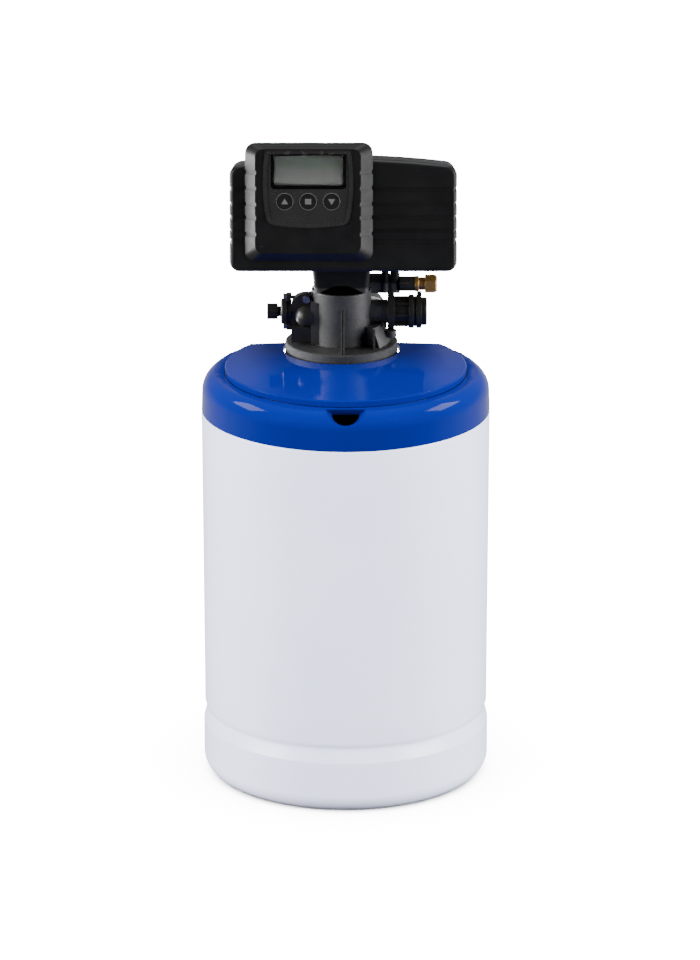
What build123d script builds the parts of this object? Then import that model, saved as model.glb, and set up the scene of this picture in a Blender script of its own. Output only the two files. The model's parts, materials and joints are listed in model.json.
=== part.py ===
# Cabinet water softener: salt tank, resin vessel, control valve and power head.
# Millimetres. Origin at the centre of the tank base, +Z up, the front faces -Y.
from build123d import *
from math import atan2, cos, pi, radians, sin, sqrt, tan
import os

# Shared clearances
seat_gap = 0.3
slide_gap = 0.05
overrun = 3.0

# Axis shared by the valve and the resin vessel
valve_x = -3.8
valve_y = 44.0
vessel_radius = 73.0
vessel_wall = 3.0
vessel_clearance = 7.0

# Salt tank, just deep enough for the vessel at its back
tank_wall = 4.0
tank_radius = valve_y + vessel_radius + vessel_clearance + tank_wall
tank_height = 337.3
base_rounding = 16.0
band_inset = 0.5
band_radius = tank_radius - band_inset
band_top = 47.0
band_rounding = 3.0
waist_inset = 4.0
waist_radius = tank_radius - waist_inset
waist_rise = 13.0
waist_height = band_top + waist_rise
waist_edge_inset = 1.5
waist_edge_radius = tank_radius - waist_edge_inset
waist_edge_rise = 5.5
waist_edge_height = waist_height + waist_edge_rise

# Blue collar round the top of the tank
collar_height = 33.9
rim_height = tank_height + collar_height
shoulder_radius = 18.0
shoulder_share = 0.928
shoulder_start = rim_height - shoulder_share * shoulder_radius
shoulder_inset = 0.5
skin_mid_share = 0.5
inner_mid_share = 0.25
shoulder_reach = tank_radius - shoulder_inset
collar_wall = 3.6
spigot_depth = 14.0
spigot_wall = 3.0
lid_clearance = 0.8
ledge_drop = 3.0
ledge_width = 9.0
tip_reach = 22.0
tip_setback = valve_y + tip_reach
tip_rounding = 4.0
deck_drop = 21.2
deck_top = rim_height - deck_drop
deck_wall = 4.0
bulkhead_wall = 4.0
neck_clearance = 1.5
brine_hose_hole = 6.5
brine_hose_angle = 47.0
brine_hose_inset = 13.4

# Salt lid
lid_inset = 20.8
lid_radius = tank_radius - lid_inset
lid_edge_rise = 5.8
lid_edge_height = rim_height + lid_edge_rise
lid_rise = 2.8
lid_wall = 3.0
lid_rim_wall = 4.0
lid_edge_rounding = 1.3
lid_rear_gap = 2.0
lid_rear = tip_setback - lid_rear_gap
lid_slot_gap = 2.0

# Finger notch in the shoulder, below the front edge of the lid
notch_radius = 17.6
notch_throat_radius = 12.2
notch_throat_depth = 7.0
notch_depth = 16.0
notch_mouth_reach = 9.0
notch_tilt = 40.0
notch_setback = 5.2
notch_back = lid_radius + notch_setback
notch_wall = 2.4
notch_boss_depth = 4.0

# Resin vessel, its boot and its bed
vessel_lift = 8.0
vessel_base = tank_wall + vessel_lift
vessel_base_rounding = 45.0
vessel_shoulder_rounding = 26.0
vessel_shoulder_height = 12.0
neck_rise = 8.8
neck_top = rim_height + neck_rise
neck_length = 46.0
neck_root = neck_top - neck_length
vessel_shoulder = neck_root - vessel_shoulder_height
neck_radius = 44.0
neck_root_rounding = 5.0
boot_wall = 1.5
boot_radius = vessel_radius + seat_gap + boot_wall
boot_height = 64.0
boot_foot_inset = 8.8
boot_foot_radius = boot_radius - boot_foot_inset
boot_foot_rise = 12.0
boot_bore = 16.0
boot_pad_radius = 27.0
boot_floor = 4.0
resin_headroom = 90.0
resin_top = vessel_shoulder - resin_headroom

# Riser tube and strainers
riser_radius = 13.3
riser_wall = 2.2
riser_foot = 34.0
riser_rise = 4.0
basket_radius = 22.0
basket_foot = 18.0
basket_top = 64.0
basket_wall = 2.5
basket_rib_count = 6
cone_radius = 31.0
cone_height = 30.0
cone_wall = 2.5

# Brine well, its cap and the float
well_angle = 215.0
well_radius = 27.0
well_wall = 2.0
well_clearance = 11.5
well_reach = tank_radius - tank_wall - well_clearance - well_radius
well_foot = tank_wall + seat_gap
well_drop = 25.2
well_top = rim_height - well_drop
well_slot_count = 6
well_slot_width = 3.0
well_slot_foot = 14.0
well_slot_top = 44.0
cap_side_wall = 2.2
cap_radius = well_radius + seat_gap + cap_side_wall
cap_wall = 2.4
cap_skirt = 9.0
rod_radius = 2.2
rod_socket_depth = 13.0
rod_engagement = 6.5
rod_headroom = 8.0
rod_top = well_top - rod_headroom
float_gap = 4.0
float_radius = well_radius - well_wall - float_gap
float_foot = 176.0
float_height = 44.0
float_travel = 14.0
intake_radius = 12.0
intake_plate_wall = 5.7
intake_foot = well_foot + intake_plate_wall
intake_top = 44.0
pickup_radius = 4.8
pickup_wall = 1.2
pickup_offset = 13.0
guide_thickness = 3.0
guide_height = 96.0

# Overflow fitting in the tank wall
overflow_angle = 135.0
overflow_drop = 37.3
overflow_height = tank_height - overflow_drop
overflow_barb_radius = 8.0
overflow_bore = 5.6
overflow_length = 34.0
overflow_reach = tank_radius + overflow_length
overflow_flange_radius = 13.0
overflow_flange_wall = 3.0
overflow_nut_radius = 14.0
overflow_nut_wall = 5.0
overflow_barb_lift = 1.0
overflow_barb_pitch = 7.0
overflow_barb_count = 3

# Valve body; from here on places are from the valve's axis at the top of the vessel's neck
flange_radius = 50.0
flange_wall = 7.0
flange_chamfer = 1.0
barrel_radius = 26.7
barrel_top = 55.5
barrel_rounding = 1.6
crown_inset = 1.7
crown_shoulder = 17.3
crown_rise = 6.0
crown_tip = 1.0
tower_half_width = 23.9
tower_flare = 3.3
tower_front = -16.5
tower_rear = 23.0
tower_height = 34.5
tower_top = barrel_top + tower_height
tower_rounding = 5.0
rib_drop = 12.5
rib_top = barrel_top - rib_drop
rib_thickness = 1.3
rib_split = 0.8
rib_foot_inset = 2.5
rib_x = 1.2
skirt_height = 17.0
skirt_top = flange_wall + skirt_height
skirt_top_radius = 36.0
skirt_foot_radius = 43.0
skirt_start = -38.0
gusset_gap = 1.7
gusset_wall = 1.6
gusset_reach = 31.0
gusset_height = 16.0
spigot_radius = 35.5
spigot_foot = -28.0
spigot_bore = 27.0
spigot_sleeve_wall = 4.8
chamber_radius = 13.0
chamber_floor = 10.0
pilot_gap = 0.2
port_x = 25.5
port_z = 15.0
port_radius = 15.0
port_face = 54.0
port_bore = 11.05
port_floor = 22.0
port_way = 7.0
passage_radius = 5.0
passage_y = 11.5
passage_share = 0.2
passage_z = 17.0
side_z = 33.5
left_pad_proud = 0.5
left_pad_face = -barrel_radius - left_pad_proud
left_pad_front = -18.0
left_pad_rear = 16.0
left_pad_foot = 8.0
left_pad_top = 46.0
sleeve_radius = 10.5
sleeve_reach = 14.4
sleeve_end = barrel_radius + sleeve_reach
drain_way = 7.5
boss_radius = 5.3
boss_x = 43.7
boss_y = -4.0
boss_foot = 11.5
boss_top = 17.4

# Seals, piston and plug inside the barrel
neck_bore = spigot_radius + seat_gap
neck_seal_radius = 40.0
neck_seal_width = 3.6
neck_seal_height = 2.4
neck_seal_squeeze = 0.2
cage_gap = 0.05
cage_wall = 3.6
cage_ring_count = 5
cage_window_share = 0.55
cage_post_width = 5.0
cage_foot = 11.0
cage_top = 72.0
piston_foot = 13.0
piston_length = 36.0
piston_waist = 5.5
piston_land_share = 0.24
plug_flange_radius = 14.6
plug_flange_wall = 4.0
shaft_radius = 3.0

# Left side: injector block, dome and mixing valve
injector_width = 17.3
injector_left = left_pad_face - injector_width
injector_foot = 9.5
injector_top = 53.0
injector_front = -9.0
injector_rounding = 14.0
injector_steps = (-3.0, 4.0)
injector_drops = (0.0, 2.5, 6.0)
injector_block_top = 23.3
injector_block_front = -17.0
dome_radius = 9.8
dome_length = 13.9
dome_end = left_pad_face - dome_length
dome_y = -11.0
dome_z = 32.0
bonnet_plate_wall = 4.4
bonnet_plate_end = injector_left - bonnet_plate_wall
bonnet_plate_radius = 10.0
bonnet_lug_width = 7.0
bonnet_lug_reach = 16.5
bonnet_disc_wall = 5.0
bonnet_disc_end = bonnet_plate_end - bonnet_disc_wall
bonnet_disc_radius = 11.4
bonnet_disc_chamfer = 1.2
knob_neck_radius = 4.7
knob_neck_length = 2.7
knob_neck_end = bonnet_disc_end - knob_neck_length
knob_length = 9.7
knob_end = knob_neck_end - knob_length
knob_radius = 7.1
knob_flute_count = 12
knob_flute_radius = 0.9
spindle_radius = 3.0
spindle_setback = 3.0
spindle_end = left_pad_face - spindle_setback
screw_head_radius = 3.2
screw_head_height = 3.0
screw_shank_radius = 1.5
screw_shank_length = 6.0
bonnet_screw_length = 12.0
dome_screw_inset = 4.0
dome_screw_x = left_pad_face - dome_screw_inset
dome_screw_z = 47.5
nozzle_radius = 4.0
nozzle_length = 14.0
nozzle_bore = 1.2
nozzle_z = 14.0

# Right side: drain housing with its open cage
drain_ring_radius = 15.7
drain_ring_length = 5.9
drain_ring_end = sleeve_end + drain_ring_length
drain_cage_radius = 15.0
drain_cage_length = 13.0
drain_bar_count = 8
drain_bar_width = 2.2
drain_mid_start = drain_ring_end + drain_cage_length
drain_mid_wall = 4.4
drain_mid_end = drain_mid_start + drain_mid_wall
drain_neck_radius = 13.6
drain_neck_length = 2.4
drain_tail_start = drain_mid_end + drain_neck_length
drain_tail_wall = 4.5
drain_tail_end = drain_tail_start + drain_tail_wall
drain_tube_radius = 12.0
drain_tube_bore = 10.1
drain_bore = drain_tube_radius + pilot_gap
drain_cap_radius = 12.5
drain_cap_length = 4.9
drain_cap_end = drain_tail_end + drain_cap_length
drain_cap_chamfer = 1.0
drain_spigot_radius = drain_tube_bore - 2 * slide_gap
drain_spigot_length = 18.0
drain_outlet_bore = 8.0
latch_half_width = 4.0
latch_height = 1.2
arm_width = 4.1
arm_start = drain_tail_end - arm_width
arm_half_width = 3.0
arm_top = 51.5
flow_washer_wall = 3.0
flow_washer_bore = 2.6

# Gears of the drive, which also place the brine stem
gear_module = 1.25
gear_teeth = 38
pinion_teeth = 16

# Brine valve, its stem and the brass fitting
stem_x = gear_module * gear_teeth
stem_y = 2.0
brine_z = 58.5
brine_pad_inset = 11.8
brine_pad_face = stem_x - brine_pad_inset
brine_pad_front = 1.0
brine_pad_rear = 9.0
brine_pad_foot = 50.0
brine_pad_top = 66.0
post_radius = 3.9
post_foot = 51.5
rear_post_inset = 8.6
rear_post_x = stem_x - rear_post_inset
rear_post_radius = 3.2
brine_block_reach = 4.4
brine_block_end = stem_x + brine_block_reach
brine_sleeve_radius = 6.6
brine_sleeve_length = 13.5
brine_sleeve_end = brine_block_end + brine_sleeve_length
stem_radius = 1.6
stem_foot_rise = 2.5
stem_foot = brine_z + stem_foot_rise
stem_top = 113.6
stem_head_radius = 3.6
stem_head_height = 3.0
stem_travel = 7.5
brass_flange_radius = 7.0
brass_flange_wall = 3.3
brass_flange_end = brine_sleeve_end + brass_flange_wall
brass_neck_radius = 5.8
brass_spigot_radius = 4.0
brass_spigot_length = 9.6
brass_spigot_start = brine_sleeve_end - brass_spigot_length
brass_bore = 2.4
nut_gap = 5.6
nut_start = brass_flange_end + nut_gap
nut_overlap = 3.5
brass_neck_end = nut_start + nut_overlap
nut_length = 9.8
nut_end = nut_start + nut_length
nut_half_flats = 7.4
nut_lip_radius = 7.0
nut_lip_wall = 1.0
nut_lip_end = nut_end + nut_lip_wall
nut_bore = 4.8

# Rear ports: tailpieces, clips and the flow meter
tail_collar_radius = port_radius
tail_collar_wall = 3.0
tail_length = 28.0
tail_end = port_face + tail_length
tail_radius = 13.2
tail_bore = 8.0
tail_spigot_radius = port_bore - slide_gap
tail_spigot_length = 13.0
clip_wall = 2.2
clip_setback = 4.0
clip_outer_radius = 17.5
clip_inner_radius = 9.9
clip_foot_drop = 7.0
clip_gap = 0.1
meter_start = 25.0
meter_length = 14.0
meter_ring_wall = 1.4
meter_arm_count = 3
meter_arm_width = 1.6
meter_arm_wall = 1.6
axle_radius = 1.0
turbine_hub_radius = 2.6
turbine_radius = 8.8
turbine_blade_count = 5
turbine_blade_wall = 0.9
turbine_pitch = 32.0

# Power head: cover, measured up its leaning face from the front lower edge
cover_front = -62.0
cover_drop = 2.0
cover_foot = tower_top - cover_drop
cover_lean = 10.0
cover_left = -98.5
cover_right = 101.8
cover_end_height = 93.5
cover_bow = 6.5
cover_crown = cover_end_height + cover_bow
cover_corner = 9.5
cover_rear = 46.0
cover_top_drop = 3.2
cover_side_draft = 0.8
cover_edge_rounding = 4.0
cover_wall = 2.4
groove_depth = 1.1
groove_centres = (27.0, 36.5, 48.0, 60.0, 73.0)
groove_widths = (5.1, 3.0, 4.4, 4.1, 4.2)
window_inset = 8.0
rear_cover_wall = 3.0

# Display bezel, up and across the leaning face
bezel_centre = -28.5
bezel_width = 112.4
bezel_foot = 9.5
bezel_overtop = 20.0
bezel_top = cover_end_height + bezel_overtop
bezel_corner = 9.0
bezel_proud = 10.0
bezel_face_left = -75.7
bezel_face_right = 17.2
bezel_face_foot = 17.5
bezel_face_drop = 4.0
bezel_face_top = bezel_top - bezel_face_drop
bezel_face_corner = 7.0
bezel_hump_depth = 10.0
bezel_wall = 2.5
bezel_notch_heights = (34.1, 48.7, 60.6, 74.8, 88.6)
bezel_notch_width = 3.5
bezel_notch_depth = 0.9
board_post_radius = 3.0

# Display panel, window and buttons
panel_centre = -29.2
panel_top = 108.2
panel_top_half = 37.4
panel_waist = 84.2
panel_waist_half = 39.6
panel_low = 48.6
panel_low_half = 36.6
panel_corner = 42.6
panel_corner_half = 30.5
panel_foot = 40.3
panel_recess = 1.5
panel_fit = 0.15
bead_width = 3.2
bead_lift = 0.9
screen_left = -59.9
screen_right = 2.3
screen_foot = 76.2
screen_top = 104.6
screen_rounding = 2.2
screen_set_back = 0.6
screen_frame = 2.4
screen_module_depth = 3.6
screen_gap = 0.1
button_centre = -29.1
button_spacing = 20.6
button_height = 63.3
button_radius = 6.9
button_gap = 0.25
button_lift = 0.5
button_flange_half = 8.6
button_flange_wall = 1.0
button_stem_half = 2.0
button_travel = 1.0
board_wall = 1.6
board_margin = 3.5
switch_half = 3.0
switch_height = 1.4
relay_width = 16.0
relay_height = 10.0
relay_depth = 1.8

# Frame, motor and gears inside the head
frame_wall = 4.0
frame_front_gap = 8.0
plate_front = 13.0
plate_wall = 3.0
plate_left = -70.2
plate_right = 79.8
plate_height = 64.0
plate_top = tower_top + plate_height
gear_rise = 42.0
gear_height = tower_top + gear_rise
tooth_backlash = 0.34
addendum_share = 0.85
dedendum_share = 1.1
pressure_angle = 20.0
gear_wall = 5.0
gear_gap = 2.0
gear_front = plate_front - gear_gap - gear_wall
hub_radius = 7.0
axle_size = 3.0
axle_tail = 3.0
crank_radius = 10.0
crank_pin_radius = 2.8
crank_pin_length = 2.3
yoke_front = -3.0
yoke_rear = 3.0
yoke_half_length = 17.0
yoke_half_height = 6.2
yoke_slot_half = 3.1
cam_front = -1.0
cam_radius = 14.0
cam_offset = 4.0
motor_radius = 18.0
motor_length = 23.0
motor_shaft_radius = 2.5
motor_ear_half = 24.0
motor_ear_height = 8.0
motor_ear_wall = 2.0
inlet_x = 73.8
inlet_z = 112.0
inlet_radius = 6.0
inlet_collar_radius = 8.5
inlet_collar_wall = 2.0
inlet_depth = 12.0
inlet_bore = 3.2
inlet_bore_depth = 9.0


# Helpers for solids placed by their real limits

def outline(*corners):
    """A flat face from corners (across, up) or (across, up, rounding radius)."""
    points = [corner[:2] for corner in corners]
    radii = [corner[2] if len(corner) > 2 else 0 for corner in corners]
    if any(radii):
        return make_face(FilletPolyline(*points, radius=radii, close=True))
    return make_face(Polyline(*points, close=True))


def turned(face, x=0, y=0):
    """A (radius, height) face spun about the upright axis through x, y."""
    return Pos(x, y, 0) * revolve(Plane.XZ * face, Axis.Z)


def ring_face(inner, outer, low, high):
    """A rectangular (radius, height) face for a ring."""
    return outline((inner, low), (outer, low), (outer, high), (inner, high))


def block(x0, x1, y0, y1, z0, z1):
    """A box between two opposite corners."""
    low = (Align.MIN, Align.MIN, Align.MIN)
    return Pos(x0, y0, z0) * Box(x1 - x0, y1 - y0, z1 - z0, align=low)


def post(radius, low, high, x=0, y=0):
    """An upright cylinder between two heights."""
    foot = (Align.CENTER, Align.CENTER, Align.MIN)
    return Pos(x, y, low) * Cylinder(radius, high - low, align=foot)


def crossbar(radius, start, end, y, z):
    """A cylinder along X between two stations, given in either order."""
    return Pos(min(start, end), y, z) * Rot(0, 90, 0) * post(radius, 0, abs(end - start))


def lengthwise(radius, front, rear, x, z):
    """A cylinder along Y between two stations."""
    return Pos(x, front, z) * Rot(-90, 0, 0) * post(radius, 0, rear - front)


# Salt tank, collar and lid

def tank_shell_face():
    """Half section of the tank: base, rounded foot, waist and tapered side."""
    return outline(
        (0, 0),
        (band_radius, 0, base_rounding),
        (band_radius, band_top, band_rounding),
        (waist_radius, waist_height),
        (waist_edge_radius, waist_edge_height),
        (tank_radius, tank_height),
        (tank_radius - tank_wall, tank_height),
        (waist_edge_radius - tank_wall, waist_edge_height),
        (waist_radius - tank_wall, waist_height),
        (band_radius - tank_wall, band_top),
        (band_radius - tank_wall, tank_wall, base_rounding - tank_wall),
        (0, tank_wall))


def side_radius(height):
    """Outer radius of the tank's tapered side at a height."""
    share = (height - waist_edge_height) / (tank_height - waist_edge_height)
    return waist_edge_radius + share * (tank_radius - waist_edge_radius)


def round_axis(angle, reach):
    """X and Y of a place at an angle and a distance from the tank's axis."""
    return (reach * cos(radians(angle)), reach * sin(radians(angle)))


def overflow_rod(radius, start, end):
    """A cylinder along the overflow's axis, between two distances from the tank axis."""
    return Rot(0, 0, overflow_angle) * crossbar(radius, start, end, 0, overflow_height)


def brine_tank():
    start = tank_radius - overflow_flange_radius
    hole = overflow_rod(overflow_barb_radius + seat_gap, start, overflow_reach)
    return turned(tank_shell_face()) - hole


def shoulder_arc(radius, height):
    """Height of the shoulder's arc over a radius, and the radius where it meets the rim."""
    centre = shoulder_reach - shoulder_radius
    return centre + sqrt(radius ** 2 - (height - shoulder_start) ** 2)


def shoulder_point(radius, share):
    """A point on a shoulder arc, at a share of the angle up to the outer arc's end."""
    crease = shoulder_arc(shoulder_radius, rim_height)
    centre = shoulder_reach - shoulder_radius
    angle = atan2(rim_height - shoulder_start, crease - centre) * share
    return (centre + radius * cos(angle), shoulder_start + radius * sin(angle))


def collar_skin():
    """Outer outline of the collar: side, rounded shoulder and flat rim."""
    crease = shoulder_arc(shoulder_radius, rim_height)
    return [
        Line((tank_radius, tank_height), (shoulder_reach, shoulder_start)),
        ThreePointArc((shoulder_reach, shoulder_start), shoulder_point(shoulder_radius, skin_mid_share),
                      (crease, rim_height)),
        Line((crease, rim_height), (lid_radius + lid_clearance, rim_height))]


def collar_limits():
    """Half section of all the space between the lid's bore and the collar's skin."""
    bore = lid_radius + lid_clearance
    lines = collar_skin()
    lines += [
        Line((bore, rim_height), (bore, tank_height)),
        Line((bore, tank_height), (tank_radius, tank_height))]
    return make_face(lines)


def collar_ring():
    """The collar all round: spigot, side, rounded shoulder, flat rim and the lid's ledge."""
    bore = lid_radius + lid_clearance
    ledge = rim_height - ledge_drop
    inside = shoulder_radius - collar_wall
    under = ledge - collar_wall
    inner_end = shoulder_arc(inside, under)
    inner_mid = shoulder_point(inside, inner_mid_share)
    fit = tank_radius - tank_wall - seat_gap
    inner_side = shoulder_reach - collar_wall
    lines = collar_skin()
    lines += [
        Line((fit, tank_height - spigot_depth), (fit, tank_height)),
        Line((fit, tank_height), (tank_radius, tank_height)),
        Line((bore, rim_height), (bore, ledge)),
        Line((bore, ledge), (bore - ledge_width, ledge)),
        Line((bore - ledge_width, ledge), (bore - ledge_width, under)),
        Line((bore - ledge_width, under), (inner_end, under)),
        ThreePointArc((inner_end, under), inner_mid, (inner_side, shoulder_start)),
        Line((inner_side, shoulder_start), (fit - spigot_wall, tank_height)),
        Line((fit - spigot_wall, tank_height), (fit - spigot_wall, tank_height - spigot_depth)),
        Line((fit - spigot_wall, tank_height - spigot_depth), (fit, tank_height - spigot_depth))]
    return turned(make_face(lines))


def half_funnel(wall, depth, reach):
    """Half a funnel, straight along its back edge, grown by a wall."""
    foot = (Align.CENTER, Align.CENTER, Align.MIN)
    small = notch_throat_radius + wall
    large = notch_radius + wall
    funnel = Cone(small, large, notch_throat_depth, align=foot)
    solid = Pos(0, 0, -notch_throat_depth) * funnel
    solid += post(large, 0, reach)
    solid += post(small, -depth, -notch_throat_depth)
    return solid & block(-large, large, -large, wall, -depth, reach)


def notch_place():
    """Tilts the finger notch square to the shoulder."""
    return Pos(0, -notch_back, rim_height) * Rot(notch_tilt, 0, 0)


def notch_cutter():
    return notch_place() * half_funnel(0, notch_depth, notch_mouth_reach)


def notch_boss():
    """Wall round the notch's funnel, kept inside the collar's outer form."""
    wall = notch_place() * half_funnel(notch_wall, notch_throat_depth + notch_boss_depth, notch_mouth_reach)
    return wall & turned(collar_limits())


def tank_collar():
    reach = tank_radius + overrun
    side = outline(
        (-reach, tank_height - spigot_depth), (reach, tank_height - spigot_depth), (reach, deck_top),
        (tip_setback, deck_top), (tip_setback, rim_height, tip_rounding), (-reach, rim_height))
    horseshoe = collar_ring() & (Pos(-reach, 0, 0) * extrude(Plane.YZ * side, amount=reach + reach))
    inner = shoulder_reach - collar_wall
    bay = block(-reach, reach, tip_setback - bulkhead_wall, reach, deck_top - deck_wall, deck_top)
    bulkhead = block(-reach, reach, tip_setback - bulkhead_wall, tip_setback,
                     deck_top - deck_wall, rim_height - ledge_drop)
    deck = (bay + bulkhead) & post(inner - spigot_wall / 2, 0, rim_height)
    neck = post(flange_radius + lid_slot_gap, deck_top, rim_height, valve_x, valve_y)
    hole = post(neck_radius + neck_clearance, tank_height, rim_height, valve_x, valve_y)
    hose_x, hose_y = round_axis(brine_hose_angle, tank_radius - brine_hose_inset)
    hose = post(brine_hose_hole, tank_height, rim_height, hose_x, hose_y)
    return horseshoe + notch_boss() + deck - neck - hole - hose - notch_cutter()


def salt_lid():
    """A domed plate with a downturned rim, cut straight behind and slotted round the valve."""
    seat = rim_height - ledge_drop
    edge = lid_edge_height
    inner = lid_radius - lid_rim_wall
    crown = edge + lid_rise
    sphere = (lid_radius ** 2 + lid_rise ** 2) / (2 * lid_rise)
    middle = lid_radius / 2
    bulge = crown - sphere + sqrt(sphere ** 2 - middle ** 2)
    under = edge - lid_wall
    lines = [
        Line((0, crown - lid_wall), (0, crown)),
        ThreePointArc((0, crown), (middle, bulge), (lid_radius, edge)),
        Line((lid_radius, edge), (lid_radius, seat)),
        Line((lid_radius, seat), (inner, seat)),
        Line((inner, seat), (inner, under)),
        Line((inner, under), (0, crown - lid_wall))]
    face = make_face(lines)
    corner = face.vertices().sort_by_distance((lid_radius, edge))[0]
    plate = turned(fillet(corner, lid_edge_rounding))
    reach = lid_radius + overrun
    slot = post(flange_radius + lid_slot_gap, 0, crown + overrun, valve_x, valve_y)
    behind = block(-reach, reach, lid_rear, reach, 0, crown + overrun)
    return plate - slot - behind


def overflow_fitting():
    """Flanged tube through the tank wall with a ribbed hose end outside."""
    start = tank_radius - overflow_nut_wall - tank_wall - overflow_flange_wall
    seat = side_radius(overflow_height + overflow_flange_radius) + slide_gap
    tube = overflow_rod(overflow_barb_radius, start, overflow_reach)
    tube += overflow_rod(overflow_flange_radius, seat, seat + overflow_flange_wall)
    rib = Cone(overflow_barb_radius + overflow_barb_lift, overflow_barb_radius, overflow_barb_pitch / 2)
    for step in range(overflow_barb_count):
        place = overflow_reach - overflow_barb_pitch * (step + 1) + overflow_barb_pitch / 2
        tube += Rot(0, 0, overflow_angle) * Pos(place, 0, overflow_height) * Rot(0, 90, 0) * rib
    return tube - overflow_rod(overflow_bore, start - overrun, overflow_reach + overrun)


def overflow_nut():
    """Hexagonal nut inside the tank wall."""
    hexagon = extrude(RegularPolygon(overflow_nut_radius, 6), amount=overflow_nut_wall)
    inner = side_radius(overflow_height - overflow_nut_radius) - tank_wall
    face = sqrt(inner ** 2 - overflow_nut_radius ** 2) - seat_gap
    place = Rot(0, 0, overflow_angle) * Pos(face - overflow_nut_wall, 0, overflow_height) * Rot(0, 90, 0)
    return place * hexagon - overflow_rod(overflow_barb_radius + slide_gap, 0, tank_radius)


# Resin vessel and what stands in it

def pressure_vessel():
    """Wound vessel: flat base, straight side, low shoulder and threaded neck."""
    wall = vessel_wall
    outside = outline(
        (0, vessel_base), (vessel_radius, vessel_base, vessel_base_rounding),
        (vessel_radius, vessel_shoulder, vessel_shoulder_rounding),
        (neck_radius, neck_root, neck_root_rounding), (neck_radius, neck_top), (0, neck_top))
    inside = outline(
        (0, vessel_base + wall), (vessel_radius - wall, vessel_base + wall, vessel_base_rounding - wall),
        (vessel_radius - wall, vessel_shoulder - wall, vessel_shoulder_rounding - wall),
        (neck_bore, neck_root - wall), (neck_bore, neck_top), (0, neck_top))
    return turned(outside, valve_x, valve_y) - turned(inside, valve_x, valve_y)


def vessel_boot():
    """Moulded foot that stands on the tank floor, with a pad and a rim for the vessel."""
    inner = vessel_radius + seat_gap
    floor = tank_wall + boot_floor
    face = outline(
        (boot_bore, tank_wall), (boot_foot_radius, tank_wall), (boot_radius, tank_wall + boot_foot_rise),
        (boot_radius, boot_height), (inner, boot_height), (inner, tank_wall + boot_foot_rise),
        (boot_foot_radius - overrun, floor), (boot_pad_radius, floor), (boot_pad_radius, vessel_base),
        (boot_bore, vessel_base))
    return turned(face, valve_x, valve_y)


def resin_bed():
    """The packed resin as one body round the riser and its basket."""
    outer = vessel_radius - vessel_wall - seat_gap
    floor = vessel_base + vessel_wall + seat_gap
    flat = vessel_radius - vessel_base_rounding
    bore = riser_radius + seat_gap
    basket = basket_radius + seat_gap
    face = outline(
        (basket, floor), (flat, floor), (outer, vessel_base + vessel_base_rounding), (outer, resin_top),
        (bore, resin_top), (bore, basket_top + seat_gap), (basket, basket_top + seat_gap))
    return turned(face, valve_x, valve_y)


def riser_tube():
    face = ring_face(riser_radius - riser_wall, riser_radius, riser_foot, neck_top + riser_rise)
    return turned(face, valve_x, valve_y)


def bottom_strainer():
    """Slotted basket under the riser, standing on the vessel's floor."""
    floor = vessel_base + vessel_wall
    face = outline(
        (0, floor), (basket_radius, floor), (basket_radius, basket_top),
        (riser_radius + slide_gap, basket_top), (riser_radius + slide_gap, riser_foot),
        (riser_radius - riser_wall, riser_foot), (riser_radius - riser_wall, floor + basket_wall),
        (0, floor + basket_wall))
    basket = turned(face)
    slot = block(riser_radius / 2, basket_radius + overrun, -basket_wall, basket_wall,
                 basket_foot + basket_wall, riser_foot - basket_wall)
    for turn in range(basket_rib_count):
        basket -= Rot(0, 0, turn * 360 / basket_rib_count) * slot
    return Pos(valve_x, valve_y, 0) * basket


def top_strainer():
    """Cone under the valve that keeps the resin in."""
    seat = spigot_foot
    foot = seat - cone_height
    bore = riser_radius + seat_gap
    return turned(outline(
        (bore, foot), (riser_radius + cone_wall, foot),
        (cone_radius, seat - cone_wall), (cone_radius, seat), (bore, seat),
        (bore, seat - cone_wall), (cone_radius - cone_wall, seat - cone_wall),
        (bore + cone_wall / 2, foot + cone_wall), (bore, foot + cone_wall)))


# Brine well and the safety float in it

def in_well(solid):
    """Stand a solid drawn about the well's axis in its place."""
    x, y = round_axis(well_angle, well_reach)
    return Pos(x, y, 0) * solid


def brine_well():
    """Tube that keeps salt off the float, with slots near its foot."""
    tube = turned(ring_face(well_radius - well_wall, well_radius, well_foot, well_top))
    half = well_slot_width / 2
    slot = block(0, well_radius + overrun, -half, half, well_slot_foot, well_slot_top)
    for turn in range(well_slot_count):
        tube -= Rot(0, 0, (turn + 0.5) * 360 / well_slot_count) * slot
    return in_well(tube)


def well_cap():
    face = outline(
        (0, well_top), (well_radius + seat_gap, well_top),
        (well_radius + seat_gap, well_top - cap_skirt), (cap_radius, well_top - cap_skirt),
        (cap_radius, well_top + cap_wall), (0, well_top + cap_wall))
    return in_well(turned(face))


def intake_body():
    """Foot valve on the well's floor, its pickup tube and the guide for the float rod."""
    body = post(intake_radius, intake_foot, intake_top)
    foot = post(well_radius - well_wall - seat_gap, well_foot, intake_foot)
    tube_x = -pickup_offset
    pipe = post(pickup_radius, intake_foot, rod_top, tube_x)
    pipe -= post(pickup_radius - pickup_wall, intake_foot + pickup_wall, rod_top, tube_x)
    guide = post(well_radius - well_wall - seat_gap, guide_height, guide_height + guide_thickness)
    guide -= post(well_radius / 2, guide_height, guide_height + guide_thickness, well_radius / 2)
    guide += post(rod_radius + slide_gap + guide_thickness, guide_height, guide_height + guide_thickness)
    bridge = block(-pickup_offset, well_radius - well_wall - overrun, -guide_thickness, guide_thickness,
                   guide_height, guide_height + guide_thickness)
    solid = body + foot + (pipe + guide + bridge)
    solid -= post(rod_radius + slide_gap, intake_top - rod_socket_depth, well_top)
    return in_well(solid)


def float_rod():
    low = intake_top - rod_engagement
    rod = post(rod_radius, low, rod_top - float_travel)
    for stop in (float_foot - guide_thickness, float_foot + float_height):
        rod += post(rod_radius + guide_thickness / 2, stop, stop + guide_thickness)
    return in_well(rod)


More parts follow.
